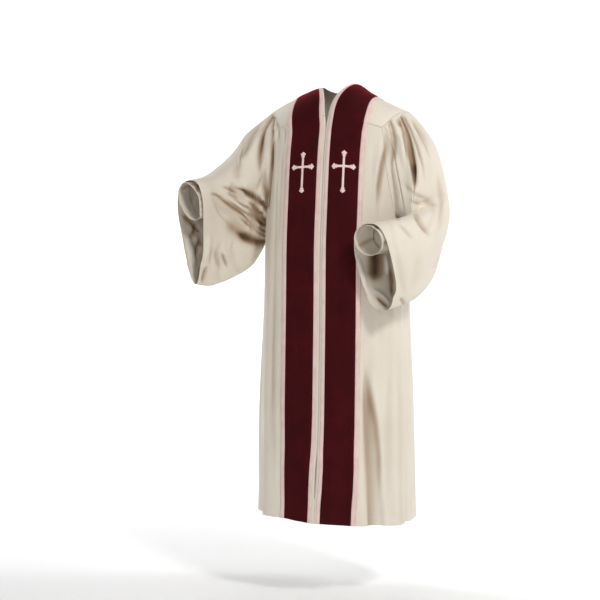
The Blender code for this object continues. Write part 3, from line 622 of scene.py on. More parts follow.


# Creases as they show in the photograph, on the cloth that faces its camera: the line of each in
# the picture, its depth in metres, half its width in picture points, where it is deep (soft ones
# fade at both ends, seam ones only at the last, root ones only at the first, whole ones at neither)
# and how much shade is painted into it, or light where negative. These cross seams
SHOWN = (
    (((272, 117), (268, 123), (264, 130), (262, 137), (260, 147), (259, 157), (259, 168), (260, 180)),
     -0.0065, 2.4, "seam", 0.50),
    (((274, 118), (272, 127), (272, 137), (272, 150), (271, 170), (269, 190), (268, 207)),
     -0.0070, 1.9, "whole", 0.45),
    (((277, 128), (276, 150), (275, 175), (273, 200)), 0.0030, 2.0, "soft", 0.0),
    (((276, 119), (278, 130), (278, 142)), -0.0040, 1.5, "soft", 0.15),
    (((283, 125), (285, 133), (284, 146)), -0.0035, 1.6, "soft", 0.12),
    (((386, 126), (386, 138), (386, 150), (383, 162), (381, 174), (379, 186), (378, 200), (377, 214)),
     -0.0060, 2.5, "soft", 0.45),
    (((381, 130), (380, 150), (376, 170), (373, 196)), 0.0025, 2.6, "soft", 0.0),
    (((362, 350), (365, 375), (367, 400), (369, 440), (371, 480), (372, 527)), -0.0130, 5.0, "root", 0.36),
    (((364, 362), (370, 395), (375, 425), (378, 455), (379, 485), (379, 510)), -0.0030, 2.4, "soft", 0.34),
    (((365, 352), (371, 385), (376, 420), (380, 460), (383, 500), (385, 527)), 0.0090, 4.0, "root", 0.0),
    (((398, 345), (401, 420), (402, 524)), -0.0040, 4.0, "root", 0.08),
    (((273, 262), (272, 330), (271, 400), (271, 460)), -0.0040, 3.0, "soft", 0.10),
    (((278, 300), (277, 400), (276, 510)), 0.0025, 2.5, "soft", 0.0),
)

# The same for creases of the sleeves alone
SLEEVE_SHOWN = (
    (((268, 124), (266, 140), (265, 155), (265, 168)), 0.0025, 2.0, "soft", 0.0),
    (((263, 120), (257, 129), (251, 139), (246, 149), (240, 157), (235, 166)), -0.0060, 3.0, "soft", 0.30),
    (((263, 130), (262, 138), (261, 147), (260, 157)), -0.0020, 1.6, "soft", 0.40),
    (((273, 142), (272, 151), (272, 161), (271, 173)), -0.0020, 1.4, "soft", 0.40),
    (((262, 178), (265, 188), (267, 198), (268, 208)), -0.0030, 1.8, "root", 0.25),
    (((238, 158), (236, 170), (238, 184)), -0.0050, 4.0, "soft", 0.18),
    (((258, 128), (254, 140), (250, 152), (248, 168)), 0.0040, 3.2, "soft", 0.0),
    (((238, 187), (247, 193), (256, 199), (264, 206), (269, 213)), -0.0090, 2.6, "root", 0.95),
    (((240, 182), (250, 189), (260, 196), (267, 202)), 0.0040, 2.4, "root", 0.0),
    (((221, 185), (229, 189), (238, 194)), -0.0050, 1.7, "soft", 0.35),
    (((226, 192), (234, 196), (241, 201)), -0.0040, 1.5, "soft", 0.30),
    (((224, 188), (233, 193), (242, 198)), 0.0030, 1.3, "soft", 0.0),
    (((247, 199), (253, 205), (260, 212)), -0.0070, 2.2, "soft", 0.85),
    (((252, 207), (258, 214), (264, 222), (269, 230)), -0.0080, 2.8, "root", 0.75),
    (((208, 189), (220, 198), (232, 207), (241, 214), (250, 221), (259, 227), (268, 234)),
     -0.0070, 1.8, "root", 0.60),
    (((226, 198), (240, 208), (250, 215), (258, 221)), 0.0040, 1.6, "soft", 0.0),
    (((206, 186), (218, 195), (230, 204)), 0.0030, 1.6, "soft", 0.0),
    (((238, 220), (250, 228), (262, 235)), 0.0030, 2.2, "soft", 0.0),
    (((224, 217), (233, 227), (243, 235), (256, 242)), -0.0060, 6.0, "soft", 0.44),
    (((236, 231), (247, 238), (258, 242), (268, 243)), -0.0100, 4.2, "root", 0.90),
    (((208, 193), (216, 195), (226, 199)), -0.0040, 1.5, "soft", 0.22),
    (((231, 186), (242, 190), (254, 196), (265, 203)), -0.0040, 1.3, "root", 0.60),
    (((222, 196), (232, 203), (243, 211), (255, 219), (267, 227)), -0.0035, 1.2, "root", 0.50),
    (((230, 196), (240, 203), (251, 209), (263, 214)), -0.0035, 1.2, "root", 0.50),
    (((244, 203), (254, 213), (262, 223), (268, 233)), -0.0030, 4.5, "root", 0.34),
    (((236, 214), (247, 224), (258, 232), (268, 238)), -0.0040, 1.3, "root", 0.55),
    (((246, 204), (254, 210), (260, 217), (265, 225)), 0.0035, 1.5, "root", -0.60),
    (((240, 211), (250, 219), (259, 226), (268, 231)), 0.0035, 1.4, "root", -0.50),
    (((243, 196), (254, 203), (266, 209)), 0.0030, 1.2, "root", -0.40),
    (((214, 205), (222, 216), (232, 226)), -0.0035, 1.4, "soft", 0.12),
    (((215, 246), (217, 258), (221, 272)), -0.0050, 2.4, "soft", 0.24),
    (((221, 251), (224, 259), (228, 269)), -0.0055, 1.7, "soft", 0.42),
    (((224, 249), (228, 259), (231, 268)), 0.0035, 1.6, "soft", 0.0),
    (((210, 232), (208, 248), (206, 262)), 0.0060, 3.0, "soft", 0.0),
    (((213, 244), (211, 256), (210, 268)), -0.0040, 1.6, "soft", 0.20),
    (((208, 264), (205, 274), (202, 286)), -0.0080, 2.2, "soft", 0.45),
    (((391, 121), (393, 128), (395, 137), (395, 147), (394, 157), (393, 168)), -0.0065, 2.2, "seam", 0.45),
    (((396, 118), (399, 123), (401, 128)), -0.0045, 1.6, "soft", 0.35),
    (((388, 120), (391, 134), (392, 152), (392, 172)), -0.0030, 1.2, "seam", 0.28),
    (((399, 118), (403, 132), (406, 148), (408, 166)), -0.0040, 1.2, "seam", 0.32),
    (((405, 117), (411, 130), (417, 146), (422, 164), (425, 184)), -0.0045, 1.4, "seam", 0.32),
    (((411, 118), (418, 130), (426, 146), (431, 162)), -0.0040, 1.3, "soft", 0.26),
    (((400, 178), (408, 188), (418, 196), (430, 200)), -0.0040, 1.4, "soft", 0.26),
    (((396, 222), (404, 229), (414, 241)), -0.0040, 1.4, "soft", 0.24),
    (((402, 117), (406, 128), (409, 140), (411, 152), (413, 163), (415, 173), (416, 183), (416, 192)),
     -0.0090, 2.7, "seam", 0.62),
    (((412, 160), (414, 170), (415, 180), (415, 191)), 0.0, 2.5, "soft", 0.62),
    (((390, 146), (395, 165), (399, 188), (402, 212)), 0.0100, 4.5, "root", 0.0),
    (((400, 130), (402, 150), (404, 172)), 0.0040, 2.4, "soft", 0.0),
    (((420, 146), (422, 162), (423, 180)), 0.0035, 2.6, "soft", 0.0),
    (((407, 115), (413, 121), (419, 129), (425, 138), (430, 148)), -0.0060, 2.4, "soft", 0.25),
    (((414, 132), (419, 139), (424, 148)), -0.0030, 1.4, "soft", 0.10),
    (((437, 168), (439, 182), (441, 198), (441, 212), (440, 226), (436, 238)), -0.0060, 3.2, "soft", 0.18),
    (((408, 199), (414, 202), (421, 206)), -0.0045, 1.5, "soft", 0.25),
    (((388, 213), (394, 216), (402, 219)), -0.0060, 2.2, "soft", 0.55),
    (((410, 210), (417, 219), (423, 228), (431, 238)), -0.0070, 2.0, "soft", 0.38),
    (((415, 211), (422, 219), (430, 229)), 0.0035, 1.8, "soft", 0.0),
    (((421, 201), (429, 203), (437, 206)), -0.0040, 2.6, "soft", 0.18),
    (((388, 214), (394, 230), (398, 250), (399, 268)), 0.0040, 2.6, "soft", 0.0),
    (((397, 250), (401, 275), (405, 300)), -0.0045, 4.0, "soft", 0.10),
    (((420, 250), (416, 272), (411, 294)), -0.0040, 4.5, "soft", 0.06),
    (((400, 296), (403, 303), (406, 310)), -0.0060, 2.0, "root", 0.25),
)

# Folds of the far walls inside the sleeve mouths, which stand out towards the camera, with shade painted
# deep into the mouths and light painted on some folds
INSIDE = (
    (((181, 212), (188, 219), (195, 226), (199, 231)), -0.0070, 2.6, "root", 0.55),
    (((196, 226), (193, 233), (190, 240)), -0.0060, 2.6, "seam", 0.40),
    (((184, 232), (186, 250), (191, 272)), -0.0030, 2.0, "soft", 0.10),
    (((190, 240), (192, 252), (195, 268)), 0.0060, 2.4, "soft", 0.0),
    (((200, 235), (198, 246), (195, 260)), -0.0080, 2.0, "soft", 0.50),
    (((203, 262), (201, 272), (199, 284)), -0.0060, 1.8, "soft", 0.35),
    (((376, 250), (377, 264), (376, 284)), -0.0120, 8.0, "seam", 1.0),
    (((386, 252), (387, 264), (388, 276)), 0.0060, 1.6, "soft", -0.5),
    (((391, 262), (392, 282), (393, 302)), -0.0060, 2.4, "soft", 0.70),
    (((356, 252), (361, 270), (368, 294)), 0.0060, 2.6, "soft", -0.4),
    (((361, 282), (364, 293), (368, 305)), -0.0070, 2.0, "soft", 0.60),
    (((372, 288), (381, 295), (391, 305)), 0.0060, 2.2, "soft", -0.3),
    (((376, 296), (383, 302), (390, 309)), -0.0070, 2.0, "soft", 0.60),
)


def make_front(side, name):
    """One front panel as a thin shell."""
    levels = panel_levels(FRONT_YOKE, FRONT_STEP)
    rows = []
    for level in levels:
        edge, inner, velvet, outer, trimmed = front_bands(level)
        last = armhole_round(level, side) - SEAM_GAP / 2
        crowded = np.linspace(0, 1, FRONT_CELLS["cloth"]) ** FRONT_CELLS["crowding"]
        rows.append(np.concatenate((np.linspace(edge, trimmed, FRONT_CELLS["band"])[:-1],
                                    trimmed + (last - trimmed) * crowded)))
    rounds = side * np.array(rows)
    levels = np.repeat(levels[:, None], rounds.shape[1], axis=1)
    grid = place(rounds, levels)
    normals = cloth_normal(rounds, levels)
    out = body_creases(rounds, levels)
    out += drawn_in(rounds[:, -1:] - rounds, ARMHOLE_DRAW) + drawn_in(levels - levels[:1], SEAM_DRAW)
    out += drawn_in(HEM - levels - HEM_TURN, HEM_DRAW)
    bands = front_bands(levels)
    free = ease((np.abs(rounds) - bands[4] - CREASE_FREE["from"]) / CREASE_FREE["over"])
    out = out * np.where(out > 0, free, BAND_SHARE + (1 - BAND_SHARE) * free)
    # Heights of the creases, and the shade painted into them
    height, shade_paint = creased(grid, normals, SHOWN)
    out += height * free + creased(grid, normals, BAND_PICTURE)[0] * (1 - free)
    grid = grid + normals * out[..., None]
    uv = np.stack((rounds, levels), axis=-1)
    return grid_piece(name, grid, normals, uv, SHELL, hollow=shade_paint * free)


def make_back(name):
    """The back panel, with the flutes that the back yoke takes in."""
    levels = panel_levels(BACK_YOKE, BACK_STEP)
    share = np.linspace(-1, 1, 121)
    last = armhole_round(-levels, 1) - SEAM_GAP / 2
    rounds = last[:, None] * share
    levels = np.repeat(levels[:, None], rounds.shape[1], axis=1)
    grid = place(rounds, -levels)
    normals = cloth_normal(rounds, -levels)
    below = levels - BACK_YOKE
    pinch = np.exp(-(below / BACK_GATHERS["fall"])) * ease(below / BACK_GATHERS["rise"])
    gathers = np.cos(rounds * 2 * math.pi / BACK_GATHERS["pitch"] + 1.3 * np.sin(rounds * 41.0))
    calm = 1 - ease((np.abs(share) - BACK_GATHERS_CALM["from"]) / BACK_GATHERS_CALM["over"])
    out = BACK_GATHERS["depth"] * pinch * gathers * calm
    out += drawn_in(last[:, None] - np.abs(rounds), SEAM_DRAW) + drawn_in(levels - levels[:1], SEAM_DRAW)
    out += drawn_in(HEM - levels - HEM_TURN, HEM_DRAW)
    grid = grid + normals * out[..., None]
    uv = np.stack((rounds, -levels), axis=-1)
    # Shade is painted into the troughs of the gathers and beside the seams and the hem
    return grid_piece(name, grid, normals, uv, SHELL, hollow=np.minimum(-out / BACK_PAINTED_SHADE_DEPTH, BACK_PAINTED_SHADE_MOST))


def yoke_rows(lines):
    """Cross lines of the whole yoke: line and side of each, from left front to right front."""
    return [(line, 1) for line in lines] + [(line, -1) for line in lines[-2::-1]]


FINE_LINES = joined((0, 9, 64), (9, 11, 15), (11, 16, 26))


def make_yoke(name):
    """The yoke over both shoulders."""
    spans = []
    for line, side in yoke_rows(FINE_LINES):
        bands = yoke_bands(line)
        last = yoke_span(line, side) - SEAM_GAP
        values = joined((0, bands[3], 26), (bands[3], last, 26))
        rounds, levels = yoke_place(line, side, values)
        spans.append((rounds, levels, last - values, np.full(len(values), line)))
    rounds, levels, left, line = (np.array(part) for part in zip(*spans))
    grid = place(rounds, levels)
    normals = cloth_normal(rounds, levels)
    beyond = ease((np.abs(rounds) - BAND_END) / 0.02)
    # Heights of the creases, and the shade painted into them
    height, shade_paint = creased(grid, normals, SHOWN)
    out = drawn_in(left, SEAM_DRAW) + drawn_in(line * YOKE_LINE_STEP, SEAM_DRAW) + height * beyond
    grid = grid + normals * out[..., None]
    uv = np.stack((rounds, levels), axis=-1)
    return grid_piece(name, grid, normals, uv, SHELL, hollow=shade_paint * beyond)


def band_grid(side, first, last, cells):
    """Grid of a band from the hem up a front and over the yoke to the centre back."""

    def widths(bands):
        return np.linspace(bands[first] + SEAM_GAP / 2, bands[last] - SEAM_GAP / 2, cells + 1)

    rows = []
    for level in spaced(HEM, FRONT_YOKE + YOKE_GAP, FRONT_STEP):
        values = widths(front_bands(level))
        rows.append((side * values, np.full(len(values), level), values - values[0]))
    for line in FINE_LINES:
        values = widths((0.0,) + yoke_bands(line))
        rows.append((*yoke_place(line, side, values), values - values[0]))
    return [np.array(part) for part in zip(*rows)]


# Soft waves in the bands, laid out in the picture as the creases are
BAND_PICTURE = (
    (((300, 420), (301, 470), (302, 520)), -0.0040, 5.0, "root", 0.0),
    (((292, 300), (293, 380), (292, 470)), 0.0030, 4.0, "soft", 0.0),
    (((347, 400), (346, 460), (344, 524)), -0.0040, 5.0, "root", 0.0),
    (((334, 440), (332, 480), (330, 524)), 0.0035, 4.0, "root", 0.0),
    (((338, 200), (339, 260), (338, 330)), -0.0030, 4.0, "soft", 0.0),
)


def make_band(name, side, first, last, cells, shell, crown):
    """One band on the panels, a little fuller in its middle than at its edges."""
    rounds, levels, across = band_grid(side, first, last, cells)
    wide = across[:, -1:]
    out = SEAM_GAP + shell + crown * (1 - (2 * across / wide - 1) ** 4)
    out = out + body_creases(rounds, levels) * BAND_SHARE
    normals = cloth_normal(rounds, levels)
    grid = place(rounds, levels) + normals * out[..., None]
    grid[-1, :, 0] += side * SEAM_GAP / 2
    grid = grid + normals * creased(grid, normals, BAND_PICTURE)[0][..., None]
    run = np.concatenate(([0.0], np.cumsum(np.linalg.norm(np.diff(grid[:, 0], axis=0), axis=1))))
    uv = np.stack((side * across, np.repeat(run[:, None], across.shape[1], axis=1)), axis=-1)
    return grid_piece(name, grid, normals, uv, shell)


def armhole_ring(side):
    """Armhole ring from the underarm up the front, over the yoke's ends and down the back."""
    front = spaced(UNDERARM, FRONT_YOKE, RING_STEP)
    back = spaced(BACK_YOKE, UNDERARM, RING_STEP)[1:]
    lines = np.linspace(0, YOKE_BACK_CORNER, 90)[1:]
    ends = yoke_ends(lines, side)
    rounds = np.concatenate((armhole_round(front, side), ends[2], armhole_round(-back, side)))
    levels = np.concatenate((front, ends[3], -back))
    points = place(side * rounds, levels)
    normals = cloth_normal(side * rounds, levels)
    away = unit(np.cross(unit(np.gradient(points, axis=0)), normals) * side)
    steps = np.linalg.norm(np.diff(points, axis=0), axis=1)
    shares = np.concatenate(([0.0], np.cumsum(steps))) / steps.sum()
    return points, away, shares, shares[len(front) - 1], shares[len(front) + len(lines) - 1]


def spread_share(share, along, first, second):
    """Place round a sleeve ring, with the gathered part spreading out below the head."""
    grown = ease(along / SPREAD_END)
    low = first + (SPREAD_LOW - first) * grown
    high = second + (1 - SPREAD_LOW - second) * grown
    return np.interp(share, (0.0, first, second, 1.0), (0.0, low, high, 1.0))


def station_frame(table, along):
    """Top point, low point and direction to the front side of a sleeve station."""
    top = np.array([float(read(table, "top_" + axis, along)) for axis in "xyz"])
    low = np.array([float(read(table, "low_" + axis, along)) for axis in "xyz"])
    facing = math.radians(float(read(table, "facing", along)))
    return top, low, np.array((math.cos(facing), math.sin(facing), 0.0))


def section(table, along, share):
    """Points of a sleeve ring, from its low point up the front side and down the rear."""
    top, low, ahead = station_frame(table, along)
    angle = np.linspace(0, 2 * math.pi, 321)
    up = -np.sign(np.cos(angle)) * np.abs(np.cos(angle)) ** (2 / RING_POWER)
    across = np.sign(np.sin(angle)) * np.abs(np.sin(angle)) ** (2 / RING_POWER)
    sides = np.where(across > 0, float(read(table, "front", along)), float(read(table, "rear", along)))
    across = across * sides * (1 - float(read(table, "pinch", along)) * (1 - up) / 2)
    half = np.linalg.norm(top - low) / 2
    run = np.concatenate(([0.0], np.cumsum(np.hypot(np.diff(across), np.diff(up) * half))))
    offset = np.interp(share * run[-1], run, across)
    height = np.interp(share * run[-1], run, up)
    return (top + low) / 2 + ahead * offset[:, None] + (top - low) / 2 * height[:, None]


def sleeve_folds(folds, along, share):
    """Height of the large folds of a sleeve."""
    spots = np.stack((along, share), axis=-1) * SLEEVE_FLAT
    height = np.zeros(spots.shape[:-1])
    for path, depth, width in folds:
        offset = line_offset(spots, np.array(path) * SLEEVE_FLAT)[0]
        height += depth * np.exp(-(offset / width) ** 2)
    return height * ease(along / FOLD_RISE) * (1 - ease((along - FOLD_FALL["from"]) / FOLD_FALL["over"]))


def gather_heights(inside, along, away, seed):
    """Uneven gathers let in at the sleeve head, short where the photograph shows the longer ones."""
    dice = np.random.default_rng(seed)
    height = np.zeros(inside.shape)
    for k in range(SLEEVE_GATHERS):
        kind = GATHER_KINDS[k % 2]
        start = (k + 0.5) / SLEEVE_GATHERS + dice.uniform(-0.35, 0.35) / SLEEVE_GATHERS
        drift = dice.uniform(-0.02, 0.02)
        length = dice.uniform(*kind["length"])
        depth = dice.uniform(*kind["depth"])
        wide = dice.uniform(*kind["width"]) * (0.75 + along * 1.6)
        grown = ease(along / 0.035) * (1 - ease((along - length * 0.45) / (length * 0.75)))
        grown = grown * (away + (1 - away) * 0.55 * (1 - ease((along - 0.03) / 0.07)))
        height -= depth * grown * np.exp(-((inside - start - drift * along / length) / wide) ** 2)
    full = HEAD_FULLNESS
    fading = 1 - ease((along - full["from"]) / full["over"])
    return height + full["height"] * ease(along / full["rise"]) * fading


def neighbours_mean(grid):
    """Mean of the four neighbours in a grid whose columns close on themselves."""
    above = np.concatenate((grid[:1], grid[:-1]))
    below = np.concatenate((grid[1:], grid[-1:]))
    return (above + below + np.roll(grid, 1, axis=1) + np.roll(grid, -1, axis=1)) / 4


def sleeve_base(side, table, folds, seed):
    """Grid of a sleeve before its finer creases, with its places along and round."""
    ring, away, lengths, first, second = armhole_ring(side)
    shares = joined((0, first, 46), (first, second, 190), (second, 1, 46))[:-1]
    alongs = joined((0, 0.03, 5), (0.03, 0.96, 104), (0.96, 1.0, 11))
    head = np.stack([np.interp(shares, lengths, ring[:, k]) for k in range(3)], axis=-1)
    reach = unit(np.stack([np.interp(shares, lengths, away[:, k]) for k in range(3)], axis=-1))
    grid = np.zeros((len(alongs), len(shares), 3))
    placed = np.zeros((len(alongs), len(shares)))
    for row, along in enumerate(alongs):
        blend = float(ease(along / HEAD_END))
        placed[row] = spread_share(shares, along, first, second)
        from_head = head + reach * (SEAM_GAP / 2 + along * HEAD_RUN)
        grid[row] = from_head * (1 - blend) + section(table, along, placed[row]) * blend
    corners = sum(np.exp(-((shares - corner) / CORNER_REACH) ** 2) for corner in (first, second))
    corners = corners[None, :, None] * ease(alongs / CORNER_RISE)[:, None, None]
    for _ in range(CORNER_PASSES):
        grid = grid + corners * (neighbours_mean(grid) - grid)
    normals = -grid_normals(grid, closed=True) * side
    along = np.repeat(alongs[:, None], len(shares), axis=1)
    inside = np.clip((shares - first) / (second - first), -0.2, 1.2)[None, :] + along * 0
    within = ease((inside + 0.02) / 0.05) * ease((1.02 - inside) / 0.05)
    height = gather_heights(inside, along, facing_away(normals), seed) * within
    height += sleeve_folds(folds, along, placed) * FOLD_SHARE
    grid = grid + normals * height[..., None]
    return grid, along, placed, height


def unfolded(grid, side):
    """Sleeve grid in which cloth that would turn under itself is drawn smooth."""
    even = grid
    for _ in range(CALM_PASSES):
        even = np.concatenate((grid[:1], neighbours_mean(even)[1:-1], grid[-1:]))
    outward = -grid_normals(even, closed=True) * side
    for _ in range(UNFOLD_PASSES):
        turned = np.sum(-grid_normals(grid, closed=True) * side * outward, axis=-1) < UNFOLD_BELOW
        wide = neighbours_mean(neighbours_mean(turned.astype(float)[..., None])) > 0
        wide[0] = wide[-1] = False
        grid = np.where(wide, (grid + neighbours_mean(grid)) / 2, grid)
    return grid


# Creases of each sleeve on the sides away from the photograph's camera, in rows like its folds
RIGHT_HIDDEN = (
    (((0.50, 0.60), (0.16, 0.80)), -0.0050, 0.009),
    (((0.66, 0.62), (0.12, 0.90)), -0.0060, 0.010),
    (((0.70, 0.70), (0.30, 0.93)), -0.0045, 0.012),
    (((0.40, 0.58), (0.22, 0.70)), -0.0040, 0.008),
    (((0.90, 0.72), (0.62, 0.95)), -0.0050, 0.012),
)
LEFT_HIDDEN = (
    (((0.20, 0.55), (0.52, 0.80)), -0.0060, 0.010),
    (((0.34, 0.56), (0.70, 0.78)), -0.0055, 0.011),
    (((0.16, 0.66), (0.38, 0.92)), -0.0050, 0.010),
    (((0.52, 0.70), (0.84, 0.92)), -0.0045, 0.012),
)


def hidden_creases(creases, along, placed):
    """Height of a sleeve's creases on the sides away from the photograph's camera."""
    spots = np.stack((along, placed), axis=-1) * SLEEVE_FLAT
    height = np.zeros(along.shape)
    for path, depth, width in creases:
        offset, share = line_offset(spots, np.array(path) * SLEEVE_FLAT)
        height += depth * np.exp(-(offset / width) ** 2) * np.sin(math.pi * share) ** 0.6
    return height


def painted_crease_shade(height, first, last, most):
    """Painted shade of creases, growing from one depth to another, with the most that they get."""
    return np.clip(-height - first, 0, last - first) / (last - first) * most


def make_sleeve(name, side, table, folds, hidden, seed, paler):
    """One bell sleeve as a thin shell, with shade painted into its creases; its last argument is how much
    light is painted on its rear wall towards the mouth.
    """
    grid, along, placed, height = sleeve_base(side, table, folds, seed)
    normals = -grid_normals(grid, closed=True) * side
    away = facing_away(normals)
    behind = hidden_creases(hidden, along, placed) * away
    shown, shade_paint = creased(grid, normals, SHOWN + SLEEVE_SHOWN)
    far_wall, inside_shade_paint = creased(grid, normals, INSIDE, -1.0)
    # Shade painted into the sleeve's creases: the laid-out ones, those inside the mouth, the hidden ones,
    # and the large folds and gathers
    hollow = shade_paint + inside_shade_paint + painted_crease_shade(behind, 0.002, 0.006, 0.4) + painted_crease_shade(height, 0.004, 0.012, 0.2)
    out = behind + shown - far_wall + drawn_in(along * SLEEVE_RUN, ARMHOLE_DRAW)
    out += drawn_in((1 - along) * SLEEVE_RUN - SLEEVE_TURN, HEM_DRAW)
    grid = unfolded(grid + normals * out[..., None], side)
    uv = np.stack((placed * SLEEVE_GIRTH, along * SLEEVE_RUN), axis=-1)
    # Light painted on the rear wall, where it faces away, growing towards the mouth
    pale = paler * away * ease((along - PAINTED_LIGHT_RUN["from"]) / PAINTED_LIGHT_RUN["over"])
    return grid_piece(name, grid, normals, uv, SHELL, closed=True, hollow=hollow, pale=pale)


def inside_mouth(table, along, below, beside):
    """Distances to the front side, kept clear of the sleeve wall at depths below its top."""
    top, low = station_frame(table, along)[:2]
    height = 1 - 2 * below / np.linalg.norm(top - low)
    width = np.where(beside > 0, float(read(table, "front", along)), float(read(table, "rear", along)))
    width = width * np.maximum(1 - np.abs(height) ** RING_POWER, 0.0) ** (1 / RING_POWER)
    width = width * (1 - float(read(table, "pinch", along)) * (1 - height) / 2)
    return np.sign(beside) * np.minimum(np.abs(beside), np.maximum(width - WALL - CUFF_CLEAR, 0.0))


def cuff_ring(table, cuff, along):
    """Points of a cuff at one place along its sleeve."""
    lean = math.radians(cuff["lean"])
    reach = math.hypot(cuff["half_height"] * math.cos(lean), cuff["half_width"] * math.sin(lean))
    top, low, ahead = station_frame(table, along)
    down = (low - top) / np.linalg.norm(low - top)
    turn = np.linspace(0, 2 * math.pi, 121)[:-1]
    long_way = cuff["half_height"] * np.cos(turn)
    short_way = cuff["half_width"] * np.sin(turn)
    below = WALL + cuff["room"] + reach + long_way * math.cos(lean) - short_way * math.sin(lean)
    beside = cuff["shift"] + long_way * math.sin(lean) + short_way * math.cos(lean)
    return top + down * below[:, None] + ahead * inside_mouth(table, along, below, beside)[:, None]


def make_cuff(name, table, cuff, seed):
    """Band at the wrist, rolled at its open edge."""
    rings = [cuff_ring(table, cuff, along) for along in np.linspace(CUFF_START, 1.0, 17)]
    run = rings[-1] - rings[-2]
    beyond = run / np.linalg.norm(run, axis=1, keepdims=True) * CUFF_BEYOND
    rings += [rings[-1] + beyond * share for share in np.linspace(0, 1, 5)[1:]]
    grid = np.array(rings)
    outward = grid - grid.mean(axis=1, keepdims=True)
    normals = grid_normals(grid, closed=True)
    normals = normals * np.sign(np.sum(normals * outward))
    rows, columns = grid.shape[:2]
    turn = np.linspace(0, 2 * math.pi, columns + 1)[:-1][None, :]
    left = (np.arange(rows)[::-1] / (rows - 1))[:, None]
    dice = np.random.default_rng(seed)
    out = np.zeros((rows, columns))
    for _ in range(CUFF_CREASES):
        lean = dice.uniform(-0.6, 0.6)
        off = np.angle(np.exp(1j * (turn - dice.uniform(0, 2 * math.pi) - lean * left)))
        out -= dice.uniform(0.0010, 0.0022) * np.exp(-(off / 0.16) ** 2) * ease(left / 0.25)
    out += drawn_in(left * CUFF_RUN - CUFF_TURN, CUFF_DRAW)
    grid = grid + normals * np.minimum(out, 0)[..., None]
    uv = np.stack(np.broadcast_arrays(turn * CUFF_RADIUS, left * CUFF_RUN), axis=-1)
    # Shade is painted into the cuff's creases and beside its turned hem
    return grid_piece(name, grid, outward, uv, SHELL, closed=True, hollow=-out / CUFF_PAINTED_SHADE_DEPTH)


# A cross of four padded arms, each ending in a pointed bud: the way each arm runs and its length,
# and along it the distance back from the tip and the half width there
CROSS_LENGTHS = ((0, 1, 0.080), (0, -1, 0.046), (1, 0, 0.0375), (-1, 0, 0.0375))
CROSS_BUD = {
    "back": (0.0, 0.0022, 0.0045, 0.0080, 0.0100, 0.0118, 0.0132, 0.0145, 0.0158, 0.0175, 0.0400),
    "half_width": (0.0004, 0.0030, 0.0064, 0.0094, 0.0074, 0.0042, 0.0060, 0.0070, 0.0058, 0.0037, 0.0036),
}
CROSS_BASE = 0.0021
CROSS_PAD = 0.0013
CROSS_STEP = 0.0008
THREAD_RISE = 0.0001
THREAD_PITCH = 0.0016


def make_cross(name, side):
    """One cross in padded satin stitch on the velvet."""
    bands = front_bands(np.array([CROSS_LEVEL]))
    centre = float(bands[2][0] + bands[3][0]) / 2
    points, faces, uvs = [], [], []
    across = np.linspace(-1, 1, 11)
    for turn_x, turn_z, length in CROSS_LENGTHS:
        distance = np.linspace(0.0, length, int(length / CROSS_STEP))
        half = read(CROSS_BUD, "half_width", length - distance)
        beside = half[:, None] * across
        far = np.repeat(distance[:, None], len(across), axis=1)
        rounds = side * centre + turn_x * far - turn_z * beside
        levels = CROSS_LEVEL + turn_z * far + turn_x * beside
        fullness = np.clip(half / CROSS_BUD["half_width"][-1], 0.2, 1)[:, None]
        pad = CROSS_PAD * np.sqrt(np.clip(1 - across ** 2, 0, 1)) * fullness
        thread = THREAD_RISE * np.sin(far * 2 * math.pi / THREAD_PITCH)
        out = CROSS_BASE + pad + thread * (1 - across ** 2)
        grid = place(rounds, levels) + cloth_normal(rounds, levels) * out[..., None]
        faces += (quads(*grid.shape[:2], turned=True) + len(points)).tolist()
        points += grid.reshape(-1, 3).tolist()
        uvs += np.stack((beside, far), axis=-1).reshape(-1, 2).tolist()
    return new_mesh(name, np.array(points), faces, np.array(uvs))


def stitch_points(path, outward, pitch, length, radius):
    """Corners and faces of a row of stitches along a path."""
    run = np.concatenate(([0.0], np.cumsum(np.linalg.norm(np.diff(path, axis=0), axis=1))))
    starts = np.arange(pitch / 2, run[-1] - length, pitch)

    def at(where, table):
        return np.stack([np.interp(where, run, table[:, k]) for k in range(3)], axis=-1)

    first, last = at(starts, path), at(starts + length, path)
    up = unit(at(starts + length / 2, outward))
    way = unit(last - first)
    beside = np.cross(way, up)
    middle = (first + last) / 2
    corners = np.stack((first, last, middle + beside * radius, middle + up * radius,
                        middle - beside * radius, middle - up * radius * 0.4), axis=1)
    base = np.arange(len(starts))[:, None, None] * corners.shape[1]
    sides = ((2, 3), (3, 4), (4, 5), (5, 2))
    shape = [(0, far, near) for near, far in sides] + [(1, near, far) for near, far in sides]
    return corners.reshape(-1, 3), (np.array(shape)[None] + base).reshape(-1, 3)


def make_stitches(name, rows, pitch=0.0042, length=0.0030, radius=0.00032):
    """Rows of stitches joined into one piece; each row is a path and the directions out of it."""
    points, faces, count = [], [], 0
    for path, outward in rows:
        corners, shape = stitch_points(path, outward, pitch, length, radius)
        points.append(corners)
        faces.append(shape + count)
        count += len(corners)
    return new_mesh(name, np.concatenate(points), np.concatenate(faces))


def cloth_row(rounds, levels, out):
    """A stitch row on the body cloth."""
    normals = cloth_normal(rounds, levels)
    return place(rounds, levels) + normals * out, normals


def band_row(side, index, inset, out):
    """A stitch row along a band edge, from the hem over the shoulder to the centre back."""
    levels = spaced(HEM - STITCH_STEP, FRONT_YOKE, STITCH_STEP)
    rounds = side * (front_bands(levels)[index] + inset)
    bands = (np.zeros_like(FINE_LINES),) + yoke_bands(FINE_LINES)
    yoke_rounds, yoke_levels = yoke_place(FINE_LINES, side, bands[index] + inset)
    return cloth_row(np.concatenate((rounds, yoke_rounds)), np.concatenate((levels, yoke_levels)), out)


